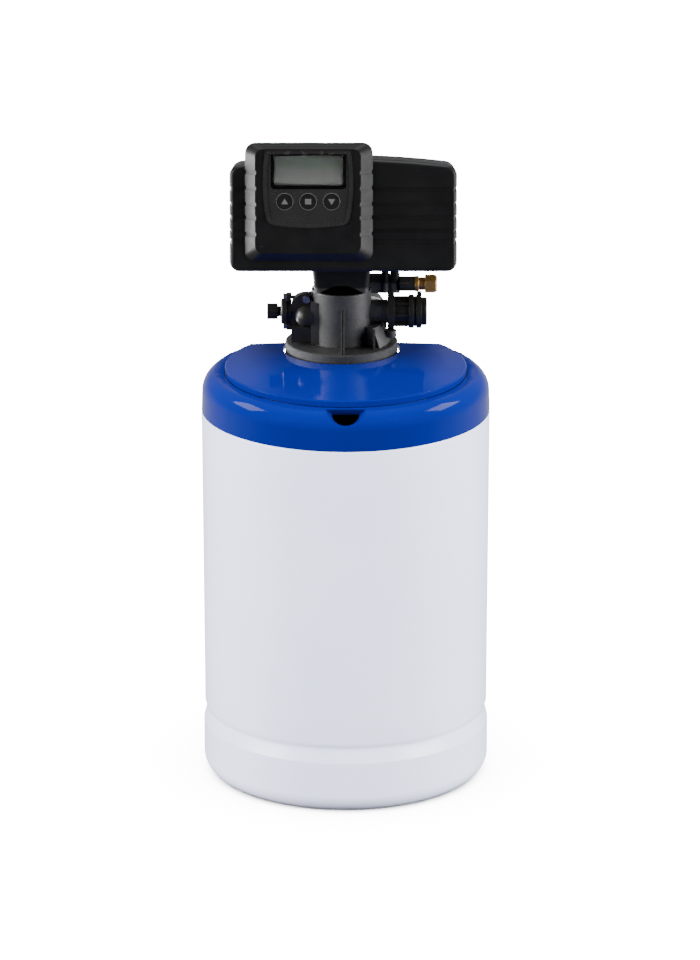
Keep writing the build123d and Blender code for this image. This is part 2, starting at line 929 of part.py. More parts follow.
def brine_float():
    """Hollow float clipped between the rod's two stops."""
    body = post(float_radius, float_foot, float_foot + float_height)
    relief = post(pickup_radius + overrun, float_foot, float_foot + float_height, -pickup_offset)
    channel = block(-float_radius, -pickup_offset, -pickup_radius - overrun, pickup_radius + overrun,
                    float_foot, float_foot + float_height)
    bore = post(rod_radius + slide_gap, float_foot, float_foot + float_height)
    return in_well(body - relief - channel - bore)


# Valve body

def barrel():
    """Flange, barrel with a rounded shoulder and domed crown, threaded spigot below."""
    crown = barrel_top + crown_rise
    return turned(outline(
        (0, spigot_foot), (spigot_radius, spigot_foot), (spigot_radius, 0),
        (flange_radius, 0), (flange_radius, flange_wall - flange_chamfer),
        (flange_radius - flange_chamfer, flange_wall), (barrel_radius, flange_wall),
        (barrel_radius, barrel_top, barrel_rounding), (barrel_radius - crown_inset, barrel_top),
        (crown_shoulder, crown), (0, crown + crown_tip)))


def upper_tower():
    """Block above the barrel, flaring a little towards the head."""
    def section(half, height):
        depth = tower_rear - tower_front
        sheet = RectangleRounded(2 * half, depth, tower_rounding)
        return Pos(0, tower_front + depth / 2, height) * sheet
    low = barrel_top - barrel_rounding
    return loft([section(tower_half_width, low), section(tower_half_width + tower_flare, tower_top)])


def front_rib():
    """Split rib down the barrel, spreading to the flange's front edge."""
    face = outline(
        (0, rib_top), (-barrel_radius - rib_split, rib_top),
        (rib_foot_inset - flange_radius, flange_wall), (0, flange_wall))
    split = rib_split / 2
    half = split + rib_thickness
    web = Pos(rib_x - half, 0, 0) * extrude(Plane.YZ * face, amount=2 * half)
    groove = block(rib_x - split, rib_x + split, -flange_radius, -barrel_radius, flange_wall, rib_top)
    return web - groove


def side_skirt():
    """Cone from the barrel to the flange on the right and behind, with a web before it."""
    reach = flange_radius
    skirt = turned(outline(
        (0, flange_wall), (skirt_foot_radius, flange_wall), (skirt_top_radius, skirt_top), (0, skirt_top)))
    sector = Rot(0, 0, skirt_start) * block(0, reach, 0, reach, flange_wall, skirt_top)
    behind = block(-reach, reach, left_pad_rear, reach, flange_wall, skirt_top)
    left = barrel_radius + gusset_gap
    top = flange_wall + gusset_height
    return (skirt & (sector + behind)) + block(left, left + gusset_wall, -gusset_reach, 0, flange_wall, top)


def port_places():
    """X of the inlet on the left and the outlet on the right."""
    return (-port_x, port_x)


def clip_face(gap):
    """Outline of a fork that drops over a tailpiece, grown by a gap."""
    outer = clip_outer_radius + gap
    inner = clip_inner_radius - gap
    drop = clip_foot_drop + gap
    plate = Circle(outer) + Pos(0, -drop / 2) * Rectangle(2 * outer, drop)
    plate -= Pos(0, -outer - drop) * Rectangle(2 * outer + overrun, 2 * outer)
    return plate - Circle(inner) - Pos(0, -outer / 2 - drop) * Rectangle(2 * inner, outer + 2 * drop)


def clip_at(x, gap):
    front = port_face - clip_setback - clip_wall - gap
    return Pos(x, front, port_z) * (extrude(Plane.XZ * clip_face(gap), amount=-(clip_wall + 2 * gap)))


def neck_seal_ring(gap, height):
    """Ring in the flange's groove, grown sideways by a gap."""
    half = neck_seal_width / 2 + gap
    return turned(ring_face(neck_seal_radius - half, neck_seal_radius + half, 0, height))


def valve_body():
    body = barrel() + upper_tower() + front_rib() + side_skirt()
    body += block(left_pad_face, 0, left_pad_front, left_pad_rear, left_pad_foot, left_pad_top)
    body += crossbar(sleeve_radius, 0, sleeve_end, 0, side_z)
    body += block(0, brine_pad_face, brine_pad_front, brine_pad_rear, brine_pad_foot, brine_pad_top)
    body += post(boss_radius, boss_foot, boss_top, boss_x, boss_y)
    half = boss_radius / 2
    body += block(0, boss_x, boss_y - half, boss_y + half, boss_foot, boss_top)
    for x in port_places():
        body += lengthwise(port_radius, left_pad_rear, port_face, x, port_z)
    body -= post(chamber_radius, chamber_floor, tower_top)
    body -= post(plug_flange_radius + seat_gap, tower_top - plug_flange_wall, tower_top)
    sleeve = riser_radius + pilot_gap
    body -= turned(ring_face(sleeve + spigot_sleeve_wall, spigot_bore, spigot_foot, 0))
    body -= post(sleeve, spigot_foot, riser_rise)
    body -= post(port_way, riser_rise, chamber_floor)
    body -= neck_seal_ring(slide_gap, neck_seal_height)
    for x in port_places():
        body -= lengthwise(port_bore, port_floor, port_face, x, port_z)
        body -= lengthwise(port_way, left_pad_rear - port_way / 2, port_floor, x, port_z)
        body -= crossbar(passage_radius, x * passage_share, x, passage_y, passage_z)
        body -= clip_at(x, clip_gap)
    return body - crossbar(drain_way, 0, sleeve_end, 0, side_z)


def neck_seal():
    return neck_seal_ring(0, neck_seal_height - neck_seal_squeeze)


# Piston assembly in the barrel

def seal_cage():
    """Stack of spacer rings joined by posts, with windows between them."""
    outer = chamber_radius - cage_gap
    inner = outer - cage_wall
    tube = ring_face(inner, outer, cage_foot, cage_top)
    cage = turned(tube)
    pitch = (cage_top - cage_foot) / cage_ring_count
    height = pitch * cage_window_share
    posts = block(-outer, outer, -cage_post_width / 2, cage_post_width / 2, cage_foot, cage_top)
    posts += Rot(0, 0, 90) * posts
    for step in range(cage_ring_count):
        low = cage_foot + step * pitch + (pitch - height) / 2
        window = turned(ring_face(0, outer + overrun, low, low + height))
        cage -= window - posts
    return cage


def piston():
    """Spool with a land at each end and a waist between."""
    radius = chamber_radius - cage_gap - cage_wall - slide_gap
    land = piston_length * piston_land_share
    top = piston_foot + piston_length
    face = outline(
        (0, piston_foot), (radius, piston_foot), (radius, piston_foot + land),
        (piston_waist, piston_foot + land), (piston_waist, top - land), (radius, top - land),
        (radius, top), (0, top))
    return turned(face)


def yoke_height():
    """Height of the yoke's slot with the piston down."""
    return gear_height - crank_radius


def piston_rod():
    """Rod up into the head, ending in the slotted yoke for the crank."""
    mid = yoke_height()
    rod = post(shaft_radius, piston_foot + piston_length, mid - yoke_half_height)
    half = yoke_half_height
    yoke = block(-yoke_half_length, yoke_half_length, yoke_front, yoke_rear, mid - half, mid + half)
    end = yoke_half_length - half + yoke_slot_half
    half = yoke_slot_half
    slot = block(-end, end, yoke_front, yoke_rear, mid - half, mid + half)
    return rod + (yoke - slot)


def end_plug():
    """Plug over the seal cage that guides the rod."""
    body = post(chamber_radius - cage_gap, cage_top, tower_top)
    body += post(plug_flange_radius, tower_top - plug_flange_wall, tower_top)
    return body - post(shaft_radius + slide_gap, cage_top, tower_top)


# Left side of the valve

def injector_dome():
    """Round-ended barrel pointing left, in front of the arched plate."""
    radius = dome_radius
    length = left_pad_face - dome_end - radius
    slant = radius * sqrt(0.5)
    lines = [
        ThreePointArc((0, radius), (slant, slant), (radius, 0)), Line((radius, 0), (radius, -length)),
        Line((radius, -length), (0, -length)), Line((0, -length), (0, radius))]
    return Pos(dome_end + radius, dome_y, dome_z) * Rot(0, -90, 0) * turned(make_face(lines))


def injector_slab(front, rear, drop):
    """Slab of the housing between two depths, its rounded top lowered by a drop."""
    top = injector_top - drop
    face = outline(
        (injector_left, injector_foot), (left_pad_face, injector_foot), (left_pad_face, top),
        (injector_left, top, injector_rounding - drop / 2))
    return Pos(0, rear, 0) * extrude(Plane.XZ * face, amount=rear - front)


def injector_body():
    """Injector housing: block below, arched plate behind, glossy dome in front."""
    rear = left_pad_rear - seat_gap
    depths = (injector_front, *injector_steps, rear)
    left = injector_left
    right = left_pad_face
    body = block(left, right, injector_block_front, rear, injector_foot, injector_block_top)
    for front, back, drop in zip(depths, depths[1:], injector_drops):
        body += injector_slab(front, back, drop)
    body += injector_dome()
    body -= crossbar(spindle_radius + slide_gap, left, right, 0, side_z)
    body -= crossbar(nozzle_radius + slide_gap, right - nozzle_length, right, 0, nozzle_z)
    body -= front_screw_hole(dome_screw_x, injector_front, dome_screw_z)
    for z in bonnet_screw_heights():
        body -= bonnet_screw_hole(z)
    return body


def injector_nozzle():
    """Nozzle and throat that draw the brine."""
    start = left_pad_face - nozzle_length
    nozzle = crossbar(nozzle_radius, start, left_pad_face, 0, nozzle_z)
    return nozzle - crossbar(nozzle_bore, start, left_pad_face, 0, nozzle_z)


def bonnet_screw_heights():
    return (side_z - bonnet_lug_reach + screw_head_radius, side_z + bonnet_lug_reach - screw_head_radius)


def front_screw(x, y, z):
    """A pan-head screw driven towards +Y, its head in front of y."""
    shank = lengthwise(screw_shank_radius, y, y + screw_shank_length, x, z)
    return shank + lengthwise(screw_head_radius, y - screw_head_height, y, x, z)


def front_screw_hole(x, y, z):
    return lengthwise(screw_shank_radius + slide_gap, y, y + screw_shank_length, x, z)


def bonnet_screw(z):
    """A pan-head screw through the bonnet's plate, driven towards +X."""
    seat = bonnet_plate_end
    shank = crossbar(screw_shank_radius, seat, seat + bonnet_screw_length, 0, z)
    return shank + crossbar(screw_head_radius, seat - screw_head_height, seat, 0, z)


def bonnet_screw_hole(z):
    seat = bonnet_plate_end
    return crossbar(screw_shank_radius + slide_gap, seat, seat + bonnet_screw_length, 0, z)


def injector_screws():
    """The screws that hold the injector housing and the mixing valve's bonnet."""
    screws = [front_screw(dome_screw_x, injector_front, dome_screw_z)]
    screws += [bonnet_screw(z) for z in bonnet_screw_heights()]
    return Compound(children=screws)


def mixing_bonnet():
    """Plate with two lugs and a round boss that the mixing spindle turns in."""
    plate = crossbar(bonnet_plate_radius, bonnet_plate_end, injector_left, 0, side_z)
    half = bonnet_lug_width / 2
    plate += block(bonnet_plate_end, injector_left, -half, half,
                   side_z - bonnet_lug_reach, side_z + bonnet_lug_reach)
    disc = crossbar(bonnet_disc_radius, bonnet_disc_end, bonnet_plate_end, 0, side_z)
    disc = chamfer(disc.faces().sort_by(Axis.X)[0].edges(), bonnet_disc_chamfer)
    for z in bonnet_screw_heights():
        disc -= crossbar(screw_head_radius + seat_gap, bonnet_disc_end, bonnet_plate_end, 0, z)
        plate -= bonnet_screw_hole(z)
    bore = crossbar(spindle_radius + slide_gap, bonnet_disc_end, injector_left, 0, side_z)
    return plate + disc - bore


def mixing_knob():
    """Fluted knob on the spindle of the mixing valve."""
    knob = crossbar(knob_radius, knob_end, knob_neck_end, 0, side_z)
    for turn in range(knob_flute_count):
        angle = turn * 2 * pi / knob_flute_count
        y = knob_radius * cos(angle)
        z = side_z + knob_radius * sin(angle)
        knob -= crossbar(knob_flute_radius, knob_end, knob_neck_end, y, z)
    neck = crossbar(knob_neck_radius, knob_neck_end, bonnet_disc_end, 0, side_z)
    spindle = crossbar(spindle_radius, bonnet_disc_end, spindle_end, 0, side_z)
    return knob + neck + spindle


# Right side of the valve: drain housing

def drain_bar_x(radius, start, end):
    """A cylinder along X on the drain's axis."""
    return crossbar(radius, start, end, 0, side_z)


def drain_housing():
    """Clip ring, open cage of bars and double end flange round the drain tube."""
    solid = drain_bar_x(drain_ring_radius, sleeve_end, drain_ring_end)
    solid += drain_bar_x(drain_cage_radius, drain_mid_start, drain_mid_end)
    solid += drain_bar_x(drain_neck_radius, drain_mid_end, drain_tail_start)
    solid += drain_bar_x(drain_cage_radius, drain_tail_start, drain_tail_end)
    half = drain_bar_width / 2
    bar = block(drain_ring_end, drain_mid_start, -half, half, 0, drain_cage_radius - half)
    for turn in range(drain_bar_count):
        solid += Pos(0, 0, side_z) * Rot(turn * 360 / drain_bar_count, 0, 0) * bar
    latch = block(sleeve_end, drain_ring_end, -latch_half_width, latch_half_width,
                  side_z, side_z + drain_ring_radius - half + latch_height)
    arm = block(arm_start, drain_tail_end, -arm_half_width, arm_half_width, side_z, arm_top)
    return solid + latch + arm - drain_bar_x(drain_bore, sleeve_end, drain_tail_end)


def drain_tube():
    """Smooth tube inside the cage."""
    tube = drain_bar_x(drain_tube_radius, sleeve_end, drain_tail_end)
    return tube - drain_bar_x(drain_tube_bore, sleeve_end, drain_tail_end)


def drain_cap():
    """End cap with the drain outlet through it."""
    cap = drain_bar_x(drain_cap_radius, drain_tail_end, drain_cap_end)
    cap = chamfer(cap.faces().sort_by(Axis.X)[-1].edges(), drain_cap_chamfer)
    start = drain_tail_end - drain_spigot_length
    cap += drain_bar_x(drain_spigot_radius, start, drain_tail_end)
    return cap - drain_bar_x(drain_outlet_bore, start, drain_cap_end)


def flow_washer():
    """Rubber washer that limits the drain flow."""
    end = drain_tail_end - drain_spigot_length
    washer = drain_bar_x(drain_spigot_radius, end - flow_washer_wall, end)
    return washer - drain_bar_x(flow_washer_bore, end - flow_washer_wall, end)


# Brine valve

def brine_valve_body():
    """Block on the valve's side with two upright posts in front, one of them for the stem."""
    body = block(
        brine_pad_face, brine_block_end, brine_pad_front, brine_pad_rear, brine_pad_foot, brine_pad_top)
    body += post(post_radius, post_foot, tower_top, stem_x, stem_y)
    body += post(rear_post_radius, post_foot, tower_top, rear_post_x, stem_y)
    floor = stem_foot - stem_travel - seat_gap
    return body - post(stem_radius + slide_gap, floor, tower_top, stem_x, stem_y)


def brine_bar(radius, start, end):
    """A cylinder along X on the brine fitting's axis."""
    return crossbar(radius, start, end, stem_y, brine_z)


def brine_sleeve():
    """Sleeve on the block's side that takes the brine fitting."""
    sleeve = brine_bar(brine_sleeve_radius, brine_block_end, brine_sleeve_end)
    return sleeve - brine_bar(brass_spigot_radius + slide_gap, brass_spigot_start, brine_sleeve_end)


def brine_stem():
    """Stem that the cam presses down, with its button head."""
    stem = post(stem_radius, stem_foot, stem_top, stem_x, stem_y)
    return stem + post(stem_head_radius, stem_top - stem_head_height, stem_top, stem_x, stem_y)


def brine_fitting():
    """Brass tailpiece screwed into the sleeve."""
    fitting = brine_bar(brass_spigot_radius, brass_spigot_start, brine_sleeve_end)
    fitting += brine_bar(brass_flange_radius, brine_sleeve_end, brass_flange_end)
    fitting += brine_bar(brass_neck_radius, brass_flange_end, brass_neck_end)
    return fitting - brine_bar(brass_bore, brass_spigot_start, brass_neck_end)


def brine_nut():
    """Brass compression nut for the brine line."""
    flats = RegularPolygon(nut_half_flats, 6, major_radius=False)
    nut = Pos(nut_start, stem_y, brine_z) * Rot(0, 90, 0) * extrude(flats, amount=nut_length)
    nut += brine_bar(nut_lip_radius, nut_end, nut_lip_end)
    nut -= brine_bar(brass_neck_radius + slide_gap, nut_start, brass_neck_end)
    return nut - brine_bar(nut_bore, brass_neck_end, nut_lip_end)


# Rear ports

def tailpiece(x):
    """Threaded tail with a spigot in the port and a groove for its clip."""
    start = port_face - tail_spigot_length
    tail = lengthwise(tail_spigot_radius, start, port_face, x, port_z)
    tail += lengthwise(tail_collar_radius, port_face, port_face + tail_collar_wall, x, port_z)
    tail += lengthwise(tail_radius, port_face + tail_collar_wall, tail_end, x, port_z)
    front = port_face - clip_setback - clip_wall - clip_gap
    rear = port_face - clip_setback + clip_gap
    groove = lengthwise(tail_collar_radius, front, rear, x, port_z)
    groove -= lengthwise(clip_inner_radius - 2 * clip_gap, front, rear, x, port_z)
    return tail - groove - lengthwise(tail_bore, start, tail_end, x, port_z)


def port_clips():
    """Fork clips that hold both tailpieces."""
    return Compound(children=[clip_at(x, 0) for x in port_places()])


def meter_carrier():
    """Ring in the outlet port with three arms at each end that hold the axle."""
    x = port_places()[1]
    end = meter_start + meter_length
    outer = port_bore - slide_gap
    inner = outer - meter_ring_wall
    ring = lengthwise(outer, meter_start, end, 0, 0) - lengthwise(inner, meter_start, end, 0, 0)
    half = meter_arm_width / 2
    arm = block(-half, half, meter_start, end, 0, outer - meter_ring_wall / 2)
    arms = arm
    for turn in range(1, meter_arm_count):
        arms += Rot(0, turn * 360 / meter_arm_count, 0) * arm
    arms -= block(-outer, outer, meter_start + meter_arm_wall, end - meter_arm_wall, -outer, outer)
    axle = lengthwise(axle_radius, meter_start, end, 0, 0)
    return Pos(x, 0, port_z) * (ring + arms + axle)


def meter_turbine():
    """Bladed wheel that spins on the carrier's axle."""
    x = port_places()[1]
    front = meter_start + meter_arm_wall + seat_gap
    rear = meter_start + meter_length - meter_arm_wall - seat_gap
    wheel = lengthwise(turbine_hub_radius, front, rear, 0, 0)
    half = turbine_blade_wall / 2
    reach = (rear - front) / 2 - seat_gap
    blade = block(-half, half, -reach, reach, 0, turbine_radius)
    blade = Pos(0, (front + rear) / 2, 0) * Rot(0, 0, turbine_pitch) * blade
    for turn in range(turbine_blade_count):
        wheel += Rot(0, turn * 360 / turbine_blade_count, 0) * blade
    wheel -= lengthwise(axle_radius + slide_gap, front, rear, 0, 0)
    return Pos(x, 0, port_z) * wheel


# Power head: the leaning cover

def lean(solid):
    """Stand a solid drawn from the cover's lower front edge on the leaning face."""
    return Pos(0, cover_front, cover_foot) * Rot(-cover_lean, 0, 0) * solid


def cover_section(inset, drop, draft, back):
    """Front view of the cover, with a bowed top, at a distance behind its face."""
    left = cover_left + inset + draft
    right = cover_right - inset - draft
    ends = cover_end_height - inset - drop
    middle = ((left + right) / 2, cover_crown - inset - drop)
    lines = [
        Line((left, inset), (right, inset)), Line((right, inset), (right, ends)),
        ThreePointArc((right, ends), middle, (left, ends)), Line((left, ends), (left, inset))]
    face = make_face(lines)
    return Pos(0, back, 0) * (Plane.XZ * fillet(face.vertices(), cover_corner - inset))


def cover_form(inset, front_inset, rounding):
    """The cover's solid form, drawn in by an inset, with its front edges rounded."""
    depth = cover_rear - cover_front + overrun
    drop = depth * tan(radians(cover_top_drop))
    front = cover_section(inset, 0, 0, front_inset)
    rear = cover_section(inset, drop, cover_side_draft, depth)
    form = loft([front, rear])
    if rounding:
        form = fillet(form.faces().sort_by(Axis.Y)[0].edges(), rounding)
    return form


def cover_bands():
    """Slabs between the grooves, each (low, high) up the face."""
    edges = [-overrun]
    for centre, width in zip(groove_centres, groove_widths):
        edges += [centre - width / 2, centre + width / 2]
    edges.append(cover_crown + overrun)
    return list(zip(edges[::2], edges[1::2]))


def cover_trim(rear):
    """The space the cover may fill: level underneath and square behind."""
    reach = cover_right - cover_left
    return block(-reach, reach, -reach, rear, cover_foot, cover_foot + reach)


def cover_outside():
    """Outer form of the cover with its grooves, still solid."""
    solid = cover_form(groove_depth, groove_depth, cover_edge_rounding - groove_depth)
    skin = cover_form(0, 0, cover_edge_rounding)
    reach = cover_right - cover_left
    for low, high in cover_bands():
        solid += skin & block(-reach, reach, -overrun, reach, low, high)
    return solid


def head_cover():
    """Grooved shell, open below and behind, with a window behind the display."""
    inset = groove_depth + cover_wall
    reach = cover_right - cover_left
    hollow = cover_form(inset, inset, 0)
    under = block(cover_left + inset, cover_right - inset, inset, reach, -reach, cover_corner)
    half = bezel_width / 2 - window_inset
    window = block(bezel_centre - half, bezel_centre + half, -overrun, inset + overrun,
                   bezel_foot + window_inset, cover_end_height - window_inset)
    shell = lean(cover_outside() - hollow - under - window)
    return shell & cover_trim(cover_rear)


def rear_cover():
    """Plate that closes the cover behind, with the hole for the power inlet."""
    slab = cover_trim(cover_rear + rear_cover_wall) - cover_trim(cover_rear)
    plate = lean(cover_form(0, 0, 0)) & slab
    rear = cover_rear + rear_cover_wall
    return plate - lengthwise(inlet_radius + slide_gap, cover_rear, rear, inlet_x, inlet_z)


def power_inlet():
    """Low-voltage socket in the rear cover."""
    face = cover_rear + rear_cover_wall
    body = lengthwise(inlet_radius, face - inlet_depth, face, inlet_x, inlet_z)
    body += lengthwise(inlet_collar_radius, face, face + inlet_collar_wall, inlet_x, inlet_z)
    front = face + inlet_collar_wall - inlet_bore_depth
    return body - lengthwise(inlet_bore, front, face + inlet_collar_wall, inlet_x, inlet_z)


# Display: bezel, panel, window, buttons and board

def bezel_section(left, right, foot, top, corner, back):
    sheet = RectangleRounded(right - left, top - foot, corner)
    return Pos((left + right) / 2, back, (foot + top) / 2) * (Plane.XZ * sheet)


def bezel_wedge(inset):
    """The bezel's proud part, with sloping sides, drawn in at the sides by an inset."""
    left = bezel_centre - bezel_width / 2 + inset
    right = bezel_centre + bezel_width / 2 - inset
    rear = bezel_section(left, right, bezel_foot, bezel_top, bezel_corner, 0)
    front = bezel_section(
        bezel_face_left + inset, bezel_face_right - inset, bezel_face_foot, bezel_face_top,
        bezel_face_corner, -bezel_proud)
    return loft([rear, front], ruled=True)


def bezel_solid():
    """The bezel's outer form: wedge in front, hump over the cover's top edge."""
    solid = bezel_wedge(bezel_notch_depth)
    full = bezel_wedge(0)
    edges = [0]
    for height in bezel_notch_heights:
        edges += [height - bezel_notch_width / 2, height + bezel_notch_width / 2]
    edges.append(bezel_top)
    for low, high in zip(edges[::2], edges[1::2]):
        solid += full & block(-bezel_width, bezel_width, -bezel_proud, 0, low, high)
    left = bezel_centre - bezel_width / 2
    depth = bezel_hump_depth
    hump = bezel_section(left, left + bezel_width, bezel_foot, bezel_top, bezel_corner, depth)
    low = cover_end_height - bezel_corner
    above = block(-bezel_width, bezel_width, 0, depth, low, bezel_top)
    return solid + (extrude(hump, amount=depth) & above)


def panel_face(grow):
    """Shield outline of the display panel, grown by a margin."""
    top = (panel_top_half + grow, panel_top + grow)
    waist = (panel_waist_half + grow, panel_waist)
    low = (panel_low_half + grow, panel_low)
    corner = (panel_corner_half + grow / 2, panel_corner - grow)
    turn = ((low[0] + corner[0]) / 2 + bead_lift, (low[1] + corner[1]) / 2 - bead_lift)
    foot = (0, panel_foot - grow)

    def other(point):
        return (-point[0], point[1])
    lines = [
        ThreePointArc(top, waist, low), ThreePointArc(low, turn, corner),
        ThreePointArc(corner, foot, other(corner)), ThreePointArc(other(corner), other(turn), other(low)),
        ThreePointArc(other(low), other(waist), other(top)), Line(other(top), top)]
    return Pos(panel_centre, 0) * make_face(lines)


def panel_slab(grow, front, rear):
    """The shield outline as a slab between two depths, negative in front of the face."""
    return Pos(0, front, 0) * extrude(Plane.XZ * panel_face(grow), amount=front - rear)


def screen_slab(margin, front, rear):
    """The screen's outline as a slab, grown by a margin."""
    width = screen_right - screen_left + 2 * margin
    height = screen_top - screen_foot + 2 * margin
    sheet = Pos((screen_left + screen_right) / 2, (screen_foot + screen_top) / 2) * RectangleRounded(
        width, height, screen_rounding)
    return Pos(0, front, 0) * extrude(Plane.XZ * sheet, amount=front - rear)


def button_places():
    """X of the three buttons, left to right."""
    return [button_centre + step * button_spacing for step in (-1, 0, 1)]


def button_holes(front, rear):
    holes = lengthwise(button_radius + button_gap, front, rear, button_places()[0], button_height)
    for x in button_places()[1:]:
        holes += lengthwise(button_radius + button_gap, front, rear, x, button_height)
    return holes


def panel_back():
    return -bezel_proud + panel_recess


def bezel_inside():
    return -bezel_proud + bezel_wall


def module_front():
    return bezel_inside() + screen_gap


def board_front():
    return module_front() + screen_module_depth


def display_bezel():
    """Frame round the display: sloping notched sides, recess for the panel, hollow behind."""
    solid = bezel_solid()
    wall = bezel_wall
    inner = bezel_section(bezel_face_left + wall, bezel_face_right - wall, bezel_face_foot + wall,
                          bezel_face_top - wall, bezel_face_corner - wall, 0)
    cavity = extrude(inner, amount=bezel_proud) & block(
        -bezel_width, bezel_width, bezel_inside(), 0, 0, bezel_top)
    solid -= cavity
    solid -= panel_slab(panel_fit, -bezel_proud, panel_back())
    solid -= screen_slab(panel_fit, -bezel_proud, bezel_inside())
    solid -= button_holes(-bezel_proud, bezel_inside())
    for x, z in board_post_places():
        solid += lengthwise(board_post_radius, bezel_inside(), board_front(), x, z)
    return lean(solid - cover_outside())


def board_limits():
    """Left, right, foot and top of the circuit board."""
    gap = bezel_wall + board_margin
    return (bezel_face_left + gap, bezel_face_right - gap, bezel_face_foot + gap, bezel_face_top - gap)


def board_post_places():
    left, right, foot, top = board_limits()
    inset = board_post_radius
    return [(left + inset, foot + inset), (right - inset, foot + inset)]


def display_panel():
    """Shield-shaped panel with a raised bead along its sides and foot."""
    lift = -bezel_proud - bead_lift
    slab = panel_slab(0, -bezel_proud, panel_back())
    bead = panel_slab(0, lift, -bezel_proud) - panel_slab(-bead_width, lift, -bezel_proud)
    solid = slab + bead
    solid -= screen_slab(0, lift, panel_back())
    return lean(solid - button_holes(lift, panel_back()))


def lcd_window():
    """Clear window in the panel's opening."""
    return lean(screen_slab(-panel_fit, -bezel_proud + screen_set_back, module_front()))


def lcd_module():
    """Display module between the bezel and the board."""
    return lean(screen_slab(screen_frame, module_front(), board_front()))


def circuit_board():
    """Board with the three switches in front and the relay behind."""
    left, right, foot, top = board_limits()
    front = board_front()
    rear = front + board_wall
    board = block(left, right, front, rear, foot, top)
    for x in button_places():
        board += block(x - switch_half, x + switch_half, front - switch_height, front,
                       button_height - switch_half, button_height + switch_half)
    low = foot + board_margin
    start = left + relay_width
    board += block(start, start + relay_width, rear, rear + relay_depth, low, low + relay_height)
    return lean(board)


def push_button(x):
    """Round key with a square flange behind the bezel and a stem to its switch."""
    front = -bezel_proud - button_lift
    flange = bezel_inside() + slide_gap
    stem_end = board_front() - switch_height - button_travel - slide_gap
    key = lengthwise(button_radius, front, flange, x, button_height)
    half = button_flange_half
    back = flange + button_flange_wall
    key += block(x - half, x + half, flange, back, button_height - half, button_height + half)
    half = button_stem_half
    key += block(x - half, x + half, flange, stem_end, button_height - half, button_height + half)
    return lean(key)


# Frame, motor and gears

def head_frame():
    """Base plate on the valve's tower and the upright plate that carries the drive."""
    inset = groove_depth + cover_wall + cover_side_draft + seat_gap
    front = cover_front + inset + frame_front_gap
    base = block(
        cover_left + inset, cover_right - inset, front, cover_rear - seat_gap,
        tower_top, tower_top + frame_wall)
    plate = block(plate_left, plate_right, plate_front, plate_front + plate_wall, tower_top, plate_top)
    frame = base + plate
    frame -= post(shaft_radius + overrun, tower_top, tower_top + frame_wall)
    frame -= post(stem_radius + slide_gap, tower_top, tower_top + frame_wall, stem_x, stem_y)
    for x in (0, stem_x):
        frame -= lengthwise(axle_size + slide_gap, plate_front, plate_front + plate_wall, x, gear_height)
    return frame - lengthwise(hub_radius, plate_front, plate_front + plate_wall, pinion_x(), gear_height)


def pitch_radius(teeth):
    return gear_module * teeth / 2


def pinion_x():
    return -pitch_radius(gear_teeth) - pitch_radius(pinion_teeth)


def gear_disc(teeth, phase):
    """Toothed disc about the Y axis, its flanks straight at the pressure angle."""
    pitch = pitch_radius(teeth)
    tip = pitch + addendum_share * gear_module
    root = pitch - dedendum_share * gear_module
    half = (pi * gear_module / 2 - tooth_backlash) / 2
    slope = tan(radians(pressure_angle))
    tip_half = half - (tip - pitch) * slope
    root_half = half + (pitch - root) * slope
    points = []
    for tooth in range(teeth):
        middle = (tooth + phase) * 2 * pi / teeth
        for radius, offset in ((root, -root_half), (tip, -tip_half), (tip, tip_half), (root, root_half)):
            angle = middle + offset / radius
            points.append((radius * cos(angle), radius * sin(angle)))
    face = make_face(Polyline(*points, close=True))
    return Pos(0, gear_front, 0) * extrude(Plane.XZ * face, amount=-gear_wall)


def gear_axle():
    """Boss and axle behind a gear, through the upright plate."""
    rear = gear_front + gear_wall
    boss = lengthwise(hub_radius, rear, plate_front - seat_gap, 0, 0)
    return boss + lengthwise(axle_size, rear, plate_front + plate_wall + axle_tail, 0, 0)


def main_gear():
    """Main gear with its crank pin, which stops just short of the yoke."""
    gear = gear_disc(gear_teeth, 0) + gear_axle()
    gear += lengthwise(crank_pin_radius, gear_front - crank_pin_length, gear_front, 0, -crank_radius)
    return Pos(0, 0, gear_height) * gear


def brine_gear():
    """Gear that carries the eccentric cam for the brine valve."""
    gear = gear_disc(gear_teeth, 0.5) + gear_axle()
    gear += lengthwise(cam_radius, cam_front, gear_front, 0, cam_offset)
    return Pos(stem_x, 0, gear_height) * gear


def motor_pinion():
    """Pinion on the motor's shaft."""
    pinion = gear_disc(pinion_teeth, 0.5)
    pinion += lengthwise(motor_shaft_radius, gear_front + gear_wall, plate_front + plate_wall, 0, 0)
    return Pos(pinion_x(), 0, gear_height) * pinion


def drive_motor():
    """Motor on the back of the upright plate, with its two mounting ears."""
    front = plate_front + plate_wall
    can = lengthwise(motor_radius, front, front + motor_length, 0, 0)
    ears = block(-motor_ear_half, motor_ear_half, front, front + motor_ear_wall,
                 -motor_ear_height / 2, motor_ear_height / 2)
    return Pos(pinion_x(), 0, gear_height) * (can + ears)


nodes = {
    "brine_tank": brine_tank(),
    "tank_collar": tank_collar(),
    "salt_lid": salt_lid(),
    "overflow_fitting": overflow_fitting(),
    "overflow_nut": overflow_nut(),
    "pressure_vessel": pressure_vessel(),
    "vessel_boot": vessel_boot(),
    "resin_bed": resin_bed(),
    "riser_tube": riser_tube(),
    "bottom_strainer": bottom_strainer(),
    "brine_well": brine_well(),
    "well_cap": well_cap(),
    "intake_body": intake_body(),
    "float_rod": float_rod(),
    "brine_float": brine_float(),
}

